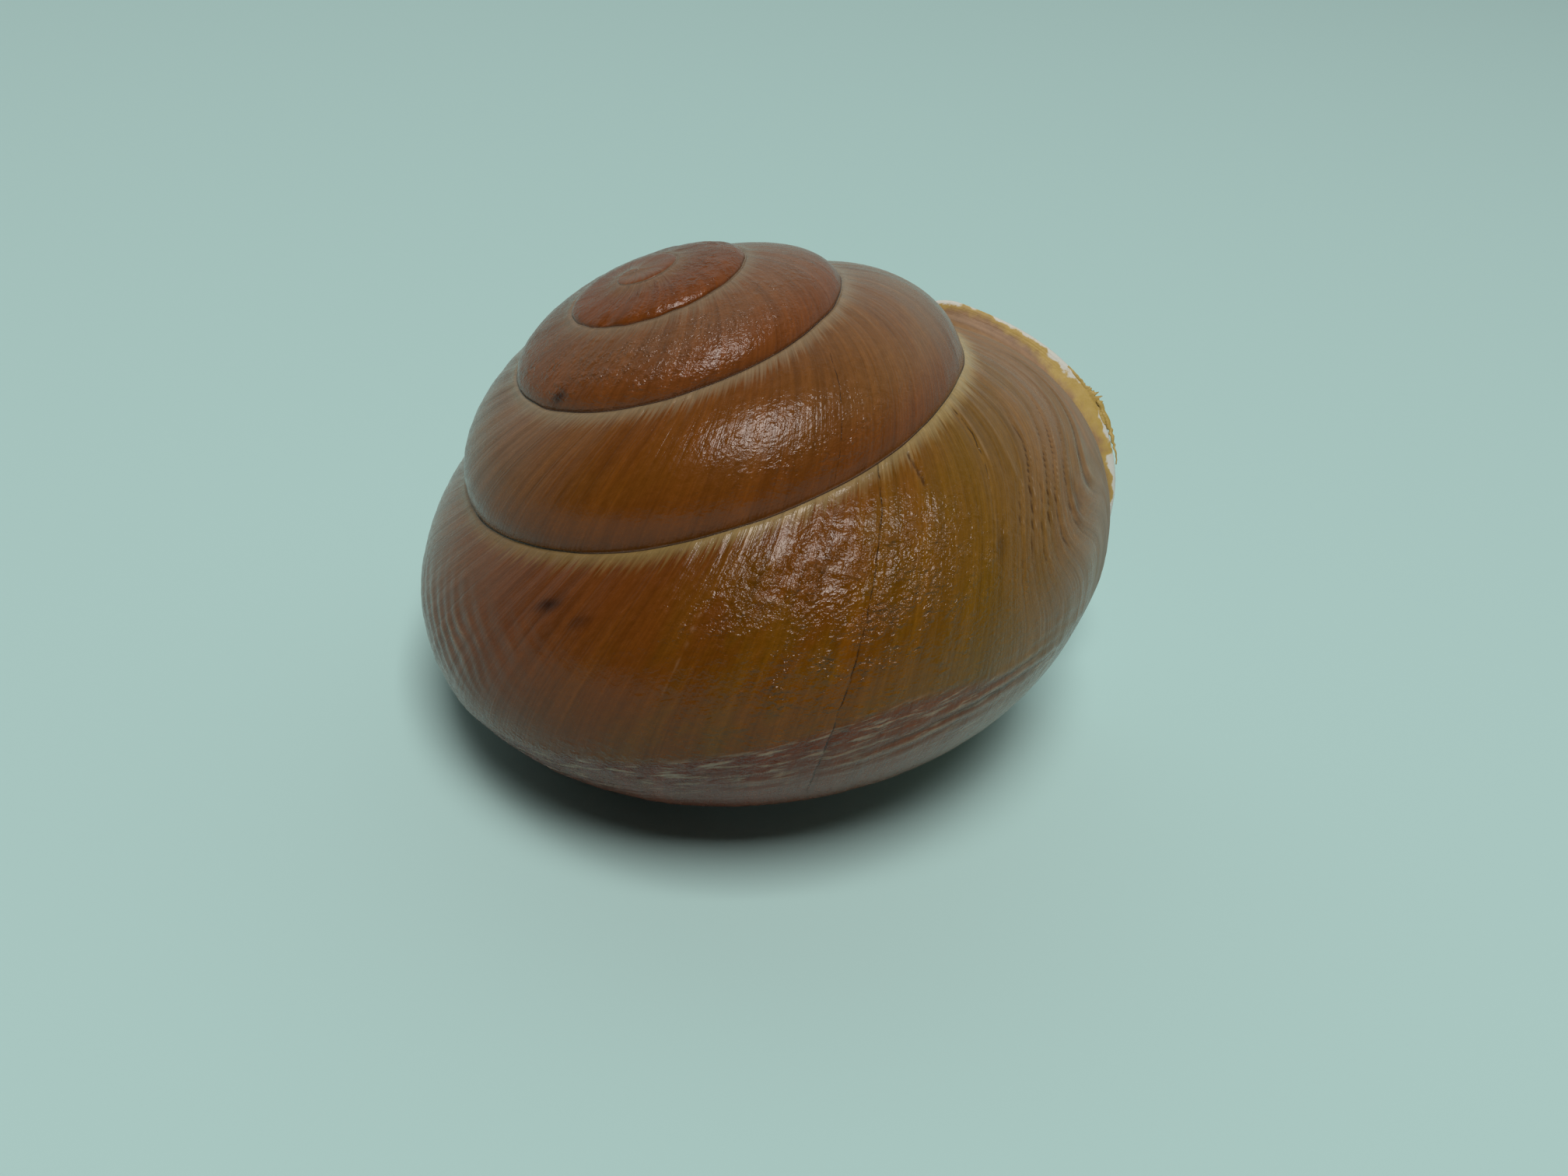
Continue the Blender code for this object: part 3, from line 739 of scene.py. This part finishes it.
def add_skin(mesh, angle, at):
    """Adds skin points at one share of the outline, with their relief."""
    section, outward = outline(angle, at)
    growth = angle + lip_lag(at)
    size = size_at(growth)
    bowed = bowed_growth(growth, at)
    grown = growth_length_mm(bowed)
    down = at * SECTION_MM * size
    past_lip = np.maximum(angle + TURN, 0.0) * SEAM_MM
    above = np.hypot((PERIPHERY - at) * SECTION_MM, past_lip) * size
    places = np.full_like(angle, at)
    rise, lines = relief_mm(growth, bowed, places, angle, grown, down, above)
    wander, calm = WANDER_MM
    ours = np.exp(-down / calm) * speckle(angle * WANDER_PITCH, np.zeros_like(angle), WANDER_SEED) * size
    theirs = np.exp(-above / calm) * speckle((angle + TURN) * WANDER_PITCH, np.zeros_like(angle), WANDER_SEED)
    ours = wander * (ours + theirs * size_at(growth + TURN))
    downward = np.stack([outward[:, 1], -outward[:, 0]], axis=-1)
    points = to_space(section, angle) + rise[:, None] * MM * direction_in_space(outward, angle)
    points += ours[:, None] * MM * direction_in_space(downward, angle)
    bare, frayed = beyond_skin_mm(-growth * size * SEAM_MM + LIP_REACH_MM * lip_opening(at), at)
    keel = (at - keel_place(growth)) * SECTION_MM
    below = below_keel(keel) * smooth_step((growth - UNDERSIDE_FROM[0]) / UNDERSIDE_FROM[1])
    nearest = np.where(down < above, growth, growth + TURN)
    return mesh.add(points, growth=growth, at=at, grown_mm=grown, down_mm=down, above_mm=above,
                    seam_mm=np.minimum(down, above), seam_growth=nearest, bare_mm=bare,
                    frayed_mm=frayed, keel_mm=keel, bowed=bowed, below=below, lines=lines,
                    stain=stain_share(growth, places), leather=leather_share(growth, places))


def build_skin(mesh):
    """The skin from the apex to the last turn's edge, and its rows at the lip and at the start."""
    columns = []
    start = SKIN_START
    for end, count, rows in SPIRE_TURNS:
        angles = np.linspace(start, end, count, endpoint=False)
        share = np.linspace(0.0, 1.0, rows, endpoint=False)
        places = PERIPHERY * (share - ROW_CROWDING * np.sin(TURN * share) / TURN)
        columns.append((angles, skin_rows(mesh, angles, places, False), places))
        start = end
    stretches = []
    for end, count in LAST_COLUMNS:
        stretches.append(np.linspace(start, end, count, endpoint=False))
        start = end
    angles = np.concatenate(stretches + [[0.0]])
    upper = PERIPHERY * np.linspace(0.0, 1.0, LAST_UPPER_ROWS, endpoint=False) ** LAST_CROWDING
    flank = np.linspace(PERIPHERY, FLANK_END, FLANK_ROWS, endpoint=False)
    base = np.linspace(FLANK_END, 1.0, BASE_ROWS + 1)
    places = np.concatenate([upper, flank, base])
    last = skin_rows(mesh, angles, places, True)
    navel = mesh.add(to_space(np.array([0.0, NAVEL_TOP]), 0.0), at=1.0, down_mm=SECTION_MM)[0]
    last[:, -1] = navel
    last[0, LAST_UPPER_ROWS] = last[-1, 0]
    mesh.fill(last)
    upper_part = last[:, :LAST_UPPER_ROWS + 1]
    columns.append((angles, upper_part, places[:LAST_UPPER_ROWS + 1]))
    close_sutures(mesh, columns)
    return last, places


def close_sutures(mesh, columns):
    """Joins each turn to the next one's upper edge, the blocks of columns to each other, and the apex."""
    top_angles = np.concatenate([angles for angles, _, _ in columns])
    top = np.concatenate([grid[:, 0] for _, grid, _ in columns])
    low_angles, low = [], []
    for (angles, grid, places), (_, following, next_places) in zip(columns, columns[1:]):
        mesh.fill(grid)
        low_angles.append(angles)
        low.append(grid[:, -1])
        kept = min(len(next_places), LAST_UPPER_ROWS)
        mesh.stitch(grid[-1], following[0][:kept], places, next_places[:kept])
    low_angles = np.concatenate(low_angles + [[-TURN]])
    low = np.concatenate(low + [[columns[-1][1][0, LAST_UPPER_ROWS - 1]]])
    first = int(np.searchsorted(top_angles, SKIN_START + TURN))
    mesh.stitch(low, top[first:], low_angles, top_angles[first:] - TURN)
    tip = mesh.add(to_space(np.zeros(2), 0.0), **TIP_MARKS)[0]
    start_column = columns[0][1][0]
    loop = list(top[:first + 1]) + list(start_column[::-1])
    mesh.fan(loop, tip)


def lip_frame(at):
    """The last turn's edge at a share of the outline, its outward and onward ways, and how far it opens."""
    angles = leaned_angle(np.array([-LIP_CHORD, 0.0]), at)
    section, outward = outline(angles, at)
    behind, edge = to_space(section, angles)
    onward = (edge - behind) / np.linalg.norm(edge - behind)
    opening = LIP_LEAST + (1.0 - LIP_LEAST) * lip_opening(at)
    return edge, direction_in_space(outward[-1:], angles[-1:])[0], onward, opening


def rim_wave(at):
    tuck_at, half_width, tuck = LIP_TUCK
    wave = LIP_WAVE * speckle(np.array([at * SECTION_MM / LIP_WAVE_MM]), np.array([0.5]), LIP_WAVE_SEED)[0]
    return 1.0 + wave - tuck * bell(at, tuck_at, half_width)


def build_lip(mesh, last, places):
    """The turned-out lip, from the last turn's edge over the rim and in; gives back its inner chain."""
    steps = np.array(LIP_PROFILE_MM) * MM
    lengths = np.cumsum(np.linalg.norm(np.diff(np.vstack([[[0.0, 0.0]], steps]), axis=0), axis=1)) / MM
    from_rim = lengths[RIM_STEP - 1] - lengths
    grid = np.zeros((len(steps) + 1, len(places)), int)
    grid[0] = last[-1]
    grid[:, 0] = last[-1, 0]
    grid[:, -1] = last[-1, -1]
    for row in range(1, len(places) - 1):
        at = places[row]
        edge, outward_way, growth_way, opening = lip_frame(at)
        growth = lengths / SEAM_MM
        grown = growth_length_mm(0.0) + lengths
        down = np.full(len(steps), at * SECTION_MM)
        shares = np.full(len(steps), at)
        ribs, lines = relief_mm(growth, growth, shares, growth, grown, down, np.full(len(steps), FAR_MM))
        ribs *= np.clip(from_rim / RIM_CALM_MM, 0.0, 1.0) * opening * MM
        bare, frayed = beyond_skin_mm(from_rim * opening, at)
        keel = (at - keel_place(0.0)) * SECTION_MM
        out = steps[:, :1] * opening * rim_wave(at) + ribs[:, None]
        points = edge + out * outward_way + steps[:, 1:] * opening * growth_way
        grid[1:, row] = mesh.add(points, growth=growth, at=at, grown_mm=grown, down_mm=down, bare_mm=bare,
                                 frayed_mm=frayed, keel_mm=keel, bowed=growth, lines=lines,
                                 below=below_keel(keel))
    mesh.fill(grid[:RIM_STEP + 1])
    mesh.fill(grid[RIM_STEP:], inside=True)
    return grid[-1]


def wave_along(places, row, kind):
    """Random wave along the lip, from how often it changes, its seed and its height."""
    pitch, seed, height = kind
    return height * speckle(places * pitch, places * 0.0 + row, seed)


def ribbon(mesh, places, rows):
    """A closed thin ribbon along the lip; each row is its way out and on, in mm, at each share."""
    rings = []
    for number, at in enumerate(places):
        edge, outward_way, growth_way, opening = lip_frame(at)
        out, onward = rows[:, :, number].T
        thick = TORN_SKIN_MM * np.array([0.0, 1.0])[:, None]
        out = np.concatenate([out, out[::-1]]) * MM * opening * rim_wave(at)
        onward = np.concatenate([onward - thick[0], onward[::-1] - thick[1]]) * MM * opening
        points = edge + out[:, None] * outward_way + onward[:, None] * growth_way
        grown = growth_length_mm(0.0) + out / MM
        ring = mesh.add(points, at=at, grown_mm=grown, down_mm=at * SECTION_MM)
        rings.append(np.append(ring, ring[0]))
    mesh.fill(np.array(rings))
    mesh.add_face(rings[0][:-1])
    mesh.add_face(rings[-1][:-1])


def build_fringe(mesh):
    """Torn dry skin that stands out past the rim, with a flap and a loose strand beyond it."""
    rim_out, rim_on = LIP_PROFILE_MM[RIM_STEP - 1]
    places = np.linspace(FRINGE_REACH_MM[0][0], FRINGE_REACH_MM[-1][0], FRINGE_STEPS)
    torn = TORN_REACH[0] + sum(wave_along(places, 0.0, tear) for tear in TEARS)
    reach = np.interp(places, *zip(*FRINGE_REACH_MM)) * np.maximum(torn, TORN_REACH[1])
    rows = []
    for share in FRINGE_ROWS:
        out = rim_out - FRINGE_BASE_MM + share * (FRINGE_BASE_MM + reach)
        lift = wave_along(places, share, FLUTTER) + CURL[1] + CURL[2] * reach
        rows.append((out, rim_on + CURL[0] + share * lift))
    ribbon(mesh, places, np.array(rows))
    start, end, past, width = STRAND
    places = np.linspace(start, end, STRAND_STEPS)
    share = (places - start) / (end - start)
    least, early, narrowing, sag = STRAND_SHAPE
    belly = least + (1.0 - least) * np.sin(np.pi * np.clip(share + early, 0.0, 1.0))
    thin = width * belly * (1.0 - narrowing * share)
    middle = rim_out + past * (1.0 - sag * share ** 2) + wave_along(places, 0.0, STRAND_BEND)
    onward = rim_on + STRAND_DROP_MM + wave_along(places, 0.0, STRAND_CURL)
    ribbon(mesh, places, np.array([(middle + side * thin / 2.0, onward) for side in (-1.0, 0.0, 1.0)]))


def inner_place(share):
    """Share of the inner turn's outline that faces this share of the outer one's."""
    return PERIPHERY + (1.0 - PERIPHERY) * share


def hollow_start(angle):
    """Share of the outline where the hollow of a turn begins, under the seam."""
    shares = np.linspace(0.0, HOLLOW_START_MOST, HOLLOW_START_STEPS)
    here = np.array([angle])
    start = 0.0
    for share in shares:
        wall, wall_outward = outline(here, share)
        inner, inner_outward = outline(here - TURN, inner_place(share))
        across = (wall - inner)[0]
        room = across - (WALL_MM * wall_outward[0] + GLAZE_MM * inner_outward[0]) * MM / SEAM_RADIUS
        if np.dot(room, across) <= HOLLOW_CLEARANCE_MM * MM / SEAM_RADIUS * np.linalg.norm(across):
            start = share + shares[1]
    return start


def build_inside(mesh, lip_chain, places, mouth_chain, mouth_places):
    """The glazed inside: a closed tube that winds back from the mouth."""
    back = np.linspace(0.0, 1.0, INSIDE_COLUMNS + 1)[1:] ** INSIDE_CROWDING * HOLLOW_TURNS * TURN
    samples = np.linspace(0.0, COLUMN_SHARE, INSIDE_SAMPLES)
    walls, floors = [], []
    for share in samples:
        angle = -back - lip_lag(share)
        section, outward = outline(angle, share)
        thick = WALL_MM - (WALL_MM - MOUTH_WALL_MM) * np.exp(-back / MOUTH_WALL_REACH)
        section = section - (thick * MM / SEAM_RADIUS)[:, None] * outward
        walls.append(to_space(section, angle))
        at = inner_place(share)
        angle = -back - TURN - inner_lag(at)
        section, outward = outline(angle, at)
        glaze = GLAZE_MM * smooth_step(back / GLAZE_RISE)
        section = section + (glaze * MM / SEAM_RADIUS)[:, None] * outward
        floors.append(to_space(section, angle))
    walls, floors = np.array(walls), np.array(floors)
    rings = []
    for number, angle in enumerate(-back):
        start = hollow_start(angle - lip_lag(HOLLOW_START_AT))
        wall_shares = start + (COLUMN_SHARE - start) * np.linspace(0.0, 1.0, WALL_POINTS)
        floor_shares = start + (COLUMN_SHARE - start) * np.linspace(0.0, 1.0, FLOOR_POINTS)
        ring = []
        for shares, side in ((wall_shares, walls), (floor_shares[::-1], floors)):
            points = [np.interp(shares, samples, side[:, number, axis]) for axis in range(3)]
            ring.append(mesh.add(np.stack(points, axis=-1), growth=angle, at=shares,
                                 depth_mm=-angle * SEAM_MM))
        rings.append(np.concatenate(ring + [ring[0][:1]]))
        if number == 0:
            wall, floor = ring[0], ring[1][::-1]
            mesh.stitch(lip_chain, wall, places, wall_shares, inside=True)
            mesh.stitch(mouth_chain, floor, mouth_places, inner_place(floor_shares), inside=True)
            mesh.add_face((lip_chain[0], wall[0], floor[0]), inside=True)
            mesh.add_face((lip_chain[-1], wall[-1], floor[-1]), inside=True)
    mesh.fill(np.array(rings), inside=True)
    middle = mesh.add(np.vstack(mesh.points)[rings[-1]].mean(axis=0), depth_mm=FAR_MM)[0]
    mesh.fan(rings[-1], middle, inside=True)


def lay_down(meshes):
    """Points of each mesh as the shell lies, within the solid's box and on its foot."""
    lean = Matrix.Rotation(LEAN_HEADING, 3, "Z") @ Matrix.Rotation(LEAN, 3, "Y")
    turn = np.array(lean @ Matrix.Rotation(SPIN, 3, "Z"))
    turned = [np.vstack(mesh.points) @ turn.T for mesh in meshes]
    low, high = np.vstack(turned).min(axis=0), np.vstack(turned).max(axis=0)
    box_low, box_high = np.array(CAD_BOX[0]), np.array(CAD_BOX[1])
    shrink = min(1.0, float(((box_high - box_low) / (high - low)).min()))
    middle = (low + high) / 2.0
    middle[2] = low[2]
    rest = (box_low + box_high) / 2.0
    rest[2] = box_low[2]
    return [(points - middle) * shrink + rest for points in turned]


def make_object(name, working, points):
    """A Blender object from gathered points and faces, with their marks."""
    mesh = bpy.data.meshes.new(name)
    used = np.zeros(working.count, bool)
    used[np.concatenate(working.faces)] = True
    number = np.cumsum(used) - 1
    faces = [[int(number[corner]) for corner in face] for face in working.faces]
    mesh.from_pydata(points[used].tolist(), [], faces)
    for mark_name, values in working.marks.items():
        mark = mesh.attributes.new(mark_name, "FLOAT", "POINT")
        mark.data.foreach_set("value", np.concatenate(values)[used])
    mesh.polygons.foreach_set("material_index", np.array(working.faces_inside, int))
    tidy = bmesh.new()
    tidy.from_mesh(mesh)
    bmesh.ops.recalc_face_normals(tidy, faces=tidy.faces)
    tidy.to_mesh(mesh)
    tidy.free()
    mesh.shade_smooth()
    piece = bpy.data.objects.new(name, mesh)
    bpy.context.collection.objects.link(piece)
    return piece


def build_pieces():
    shell_mesh, fringe_mesh = ShellMesh(), ShellMesh()
    last, places = build_skin(shell_mesh)
    lip_chain = build_lip(shell_mesh, last, places)
    mouth_chain = last[0, LAST_UPPER_ROWS:]
    build_inside(shell_mesh, lip_chain, places, mouth_chain, places[LAST_UPPER_ROWS:])
    build_fringe(fringe_mesh)
    shell_points, fringe_points = lay_down((shell_mesh, fringe_mesh))
    shell = make_object("shell_finish", shell_mesh, shell_points)
    fringe = make_object("skin_fringe", fringe_mesh, fringe_points)
    return shell, fringe


# Looks

def linear(hex_colour):
    """An sRGB hex colour as the linear colour that the shaders take."""
    shares = [int(hex_colour[i:i + 2], 16) / 255.0 for i in (1, 3, 5)]
    return tuple(c / 12.92 if c <= 0.04045 else ((c + 0.055) / 1.055) ** 2.4 for c in shares) + (1.0,)


# Kinds of shader node that come often
BUMP = "ShaderNodeBump"
MARK = "ShaderNodeAttribute"
MATHS = "ShaderNodeMath"
MIX = "ShaderNodeMix"
NOISE = "ShaderNodeTexNoise"
RANGE = "ShaderNodeMapRange"
RAMP = "ShaderNodeValToRGB"
SURFACE = "ShaderNodeBsdfPrincipled"

# Settings that come often
SMOOTH = {"interpolation_type": "SMOOTHSTEP"}
COLOURS = {"output": 2, "data_type": "RGBA"}
TIMES = {"operation": "MULTIPLY"}


def add_node(tree, kind, inputs=(), output=0, stops=(), **settings):
    """Adds a node with its settings, links and values, and gives back one of its outputs.

    An input is another node's output, a value or an sRGB hex colour, and inputs are given in order or by
    socket. Stops are a ramp's places and colours.
    """
    made = tree.nodes.new(kind)
    for name, value in settings.items():
        setattr(made, name, value)
    for socket, value in inputs.items() if isinstance(inputs, dict) else enumerate(inputs):
        if isinstance(value, bpy.types.NodeSocket):
            tree.links.new(value, made.inputs[socket])
        else:
            made.inputs[socket].default_value = linear(value) if isinstance(value, str) else value
    for number, (place, colour) in enumerate(stops):
        elements = made.color_ramp.elements
        element = elements[number] if number < len(elements) else elements.new(place)
        element.position, element.color = place, linear(colour)
    return made.outputs[output] if made.outputs else None


def make_material(name, finish):
    """A material whose surface is set by what the finish gives back, with nodes added to its tree."""
    material = bpy.data.materials.new(name)
    material.use_nodes = True
    material.node_tree.nodes.clear()
    add = functools.partial(add_node, material.node_tree)
    surface = add(SURFACE, finish(add))
    add("ShaderNodeOutputMaterial", {"Surface": surface})
    return material


def grown_noise(add, along_mm, across_mm, seed, detail=2.0, slope=0.0):
    """Noise with patches about this long along the growth and down the turn, or on a slope to them."""
    names = ("grown_mm", "down_mm")
    grown, down = (add(MARK, output="Fac", attribute_name=name) for name in names)
    place = add("ShaderNodeCombineXYZ", (grown, down, seed))
    turn = {"Vector": place, "Rotation": (0.0, 0.0, math.radians(slope)), "Scale": (along_mm, across_mm, 1.0)}
    turned = add("ShaderNodeMapping", turn, vector_type="TEXTURE")
    return add(NOISE, {"Vector": turned, "Scale": 1.0, "Detail": detail, "Roughness": NOISE_GRIT})


def colours_along(add, mark, stops):
    """Colours along a mark, from stops of its own value and a colour."""
    low, high = stops[0][0], stops[-1][0]
    share = add(RANGE, (mark, low, high))
    return add(RAMP, (share,), stops=[((value - low) / (high - low), c) for value, c in stops])


def drawn_lines(add, lines):
    """Share of cover by thin lines of painted shade that follow the growth, each a little unsteady and
    broken.
    """
    growth, at = (add(MARK, output="Fac", attribute_name=name) for name in ("bowed", "at"))
    sway = add(RANGE, (grown_noise(add, *LINE_SWAY_MM), 0.0, 1.0, *LINE_SWAY))
    cover = 0.0
    for place, start, end, half_width in lines:
        apart = add(MATHS, (growth, place), operation="SUBTRACT")
        swayed = add(MATHS, (apart, sway), operation="ADD")
        aside = add(MATHS, (swayed,), operation="ABSOLUTE")
        width = half_width / OUTER_SIZE_MM
        share = add(RANGE, (aside, width, LINE_CORE * width), **SMOOTH)
        for edge, (outer, inner) in zip((start, end), LINE_FADES):
            kept = add(RANGE, (at, edge + outer, edge + inner), **SMOOTH)
            share = add(MATHS, (share, kept), **TIMES)
        cover = add(MATHS, (share, cover), operation="MAXIMUM")
    broken = add(RANGE, (grown_noise(add, *LINE_BREAKS_MM), *LINE_BROKEN))
    return add(MATHS, (cover, broken), **TIMES)


def grown_skin(add):
    """Horny skin grown over chalky shell: thin brown leather, so a satin gleam broken by its lines."""
    made = {name: add(MARK, output="Fac", attribute_name=name) for name in SKIN_MARKS}
    made.update({name: grown_noise(add, *sizes) for name, sizes in SKIN_NOISES.items()})
    made["dark_lines"] = drawn_lines(add, DARK_LINES)
    reach = add(RANGE, (made["ribs"], *NOISE_SPAN, *PALE_REACH_MM))
    made["from_suture"] = add(MATHS, (made["down_mm"], reach), operation="DIVIDE")
    for name, source, start, full, most in SKIN_SHARES:
        made[name] = add(RANGE, (made[source], start, full, 0.0, most), **SMOOTH)
    made["glints"] = made["glint_band"]
    for limit in ("below", "glint_growth", "glint_line"):
        made["glints"] = add(MATHS, (made["glints"], made[limit]), **TIMES)
    colour = colours_along(add, made["growth"], SKIN_COLOURS)
    for share, limit, layer, along in SKIN_COVERS:
        cover = add(MATHS, (made[share], made.get(limit, limit)), **TIMES)
        layer = colours_along(add, made[along], layer) if along else layer
        colour = add(MIX, {0: cover, 6: colour, 7: layer}, **COLOURS)
    for noise, swing in SKIN_TONES:
        tone = add(RANGE, (made[noise], 0.0, 1.0, 1.0 - swing / 2.0, 1.0 + swing / 2.0))
        colour = add(MIX, {0: 1.0, 6: colour, 7: tone}, blend_type="MULTIPLY", **COLOURS)

    # Frayed ochre skin along the lip, and the bare white rim outside it, both with ragged edges
    fray = add(RANGE, (made["fray"], *NOISE_SPAN, -RAGGED_MM, RAGGED_MM))
    ochre = add(MIX, {0: made["frayed_tones"], 6: FRAYED, 7: FRAYED_PALE}, **COLOURS)
    for mark, soft_mm, layer in (("frayed_mm", FRAYED_SOFT_MM, ochre), ("bare_mm", BARE_SOFT_MM, CHALK)):
        edge = add(MATHS, (made[mark], fray), operation="ADD")
        cover = add(RANGE, (edge, soft_mm, -soft_mm), **SMOOTH)
        colour = add(MIX, {0: cover, 6: colour, 7: layer}, **COLOURS)

    # Heights in mm of what is too fine for the mesh
    folds = add(MATHS, (made["folds"], 0.5), operation="SUBTRACT")
    folds = add(MATHS, (folds,), operation="ABSOLUTE")
    folded = add(RANGE, (made["folded"], *FOLDED))
    depth = add(MATHS, (made["leather"], folded), **TIMES)
    depth = add(MATHS, (depth, LEATHER_MM[1], LEATHER_MM[0]), operation="MULTIPLY_ADD")
    height = add(MATHS, (folds, depth), **TIMES)
    for relief, depth_mm in SKIN_BUMPS_MM:
        height = add(MATHS, (made[relief], depth_mm, height), operation="MULTIPLY_ADD")
    bump = add(BUMP, {"Strength": 1.0, "Distance": MM, "Height": height})
    satin = add(RANGE, (made["mottle"], *NOISE_SPAN, *HORN_ROUGHNESS))
    rough = add(MATHS, (satin, made["dull"]), operation="MAXIMUM")
    return {"Base Color": colour, "Roughness": rough, "Normal": bump, "IOR": HORN_IOR, "Metallic": 0.0,
            "Specular IOR Level": HORN_GLOSS}


def torn_skin(add):
    """Horny skin torn loose and dried: thin, ochre and dull, paler where it is thinnest."""
    tones = grown_noise(add, *SKIN_NOISES["frayed_tones"])
    colour = add(MIX, {0: tones, 6: FRAYED, 7: FRAYED_PALE}, **COLOURS)
    fibres = grown_noise(add, *FIBRES_MM)
    bump = add(BUMP, {"Strength": 1.0, "Distance": FIBRE_DEPTH_MM * MM, "Height": fibres})
    return {"Base Color": colour, "Normal": bump, "IOR": HORN_IOR, "Metallic": 0.0, "Roughness": 0.5}


def secreted_glaze(add):
    """Porcelain-like inner layer, laid down smooth: white at the lip, flesh-coloured further in."""
    depth = add(MARK, output="Fac", attribute_name="depth_mm")
    clouds = add(RANGE, (grown_noise(add, *GLAZE_CLOUDS_MM), *GLAZE_CLOUDED))
    colour = colours_along(add, depth, GLAZE_COLOURS)
    colour = add(MIX, {0: clouds, 6: colour, 7: GLAZE_CLOUD}, **COLOURS)
    bump = add(BUMP, {"Height": grown_noise(add, *GLAZE_RIPPLES_MM), **GLAZE_BUMP})
    return {"Base Color": colour, "Normal": bump, "IOR": GLAZE_IOR, "Metallic": 0.0, "Roughness": 0.24,
            "Coat Weight": 0.3, "Coat Roughness": 0.12}


def floor_paint(add):
    """Flat pale paint, rolled on: no gleam."""
    return {"Base Color": FLOOR_COLOUR, "Roughness": 0.8}


def place_camera():
    camera = bpy.data.objects.new("camera", bpy.data.cameras.new("camera"))
    camera.data.lens = CAMERA_LENS
    camera.data.sensor_width = CAMERA_SENSOR
    camera.data.clip_start = CAMERA_NEAR
    way = Vector(CAMERA_TARGET) - Vector(CAMERA_PLACE)
    aim = way.to_track_quat("-Z", "Y").to_matrix().to_4x4()
    camera.matrix_world = Matrix.Translation(CAMERA_PLACE) @ aim @ Matrix.Rotation(CAMERA_ROLL, 4, "Z")
    bpy.context.collection.objects.link(camera)
    bpy.context.scene.camera = camera


def add_light():
    """One soft square light, aimed at the shell."""
    data = bpy.data.lights.new("soft_box", "AREA")
    data.shape = "SQUARE"
    data.size = KEY_SIZE
    data.energy = KEY_POWER
    data.color = linear(KEY_COLOUR)[:3]
    light = bpy.data.objects.new("soft_box", data)
    level = math.cos(KEY_ELEVATION)
    way = Vector((math.sin(KEY_AZIMUTH) * level, -math.cos(KEY_AZIMUTH) * level, math.sin(KEY_ELEVATION)))
    light.location = Vector(KEY_AIM) + way * KEY_DISTANCE
    light.rotation_euler = way.to_track_quat("Z", "Y").to_euler()
    bpy.context.collection.objects.link(light)


def build_world():
    """A pale surround, darker on the viewer's side as the room behind a camera is."""
    world = bpy.data.worlds.new("studio")
    world.use_nodes = True
    world.node_tree.nodes.clear()
    add = functools.partial(add_node, world.node_tree)
    way = add("ShaderNodeTexCoord", output="Generated")
    toward = (way, DARK_SIDE)
    facing = add("ShaderNodeVectorMath", toward, output="Value", operation="DOT_PRODUCT")
    share = add(RANGE, (facing, *SURROUND_FADE), **SMOOTH)
    colour = add(MIX, {0: share, 6: SURROUND_COLOUR, 7: SURROUND_DARK}, **COLOURS)
    light = add("ShaderNodeBackground", {"Color": colour, "Strength": SURROUND_STRENGTH})
    add("ShaderNodeOutputWorld", {"Surface": light})
    bpy.context.scene.world = world


def build_studio():
    bpy.ops.mesh.primitive_plane_add(size=FLOOR_SIZE)
    floor = bpy.context.object
    floor.name = "floor"
    floor.data.materials.append(make_material("floor_paint", floor_paint))
    build_world()
    add_light()
    bpy.context.scene.view_settings.view_transform = "Standard"


shell, fringe = build_pieces()
shell.data.materials.append(make_material("grown_horny_skin_over_chalk", grown_skin))
shell.data.materials.append(make_material("secreted_glaze", secreted_glaze))
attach(shell, "root")
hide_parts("shell")
fringe.data.materials.append(make_material("torn_dried_horny_skin", torn_skin))
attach(fringe, "root")
place_camera()
build_studio()
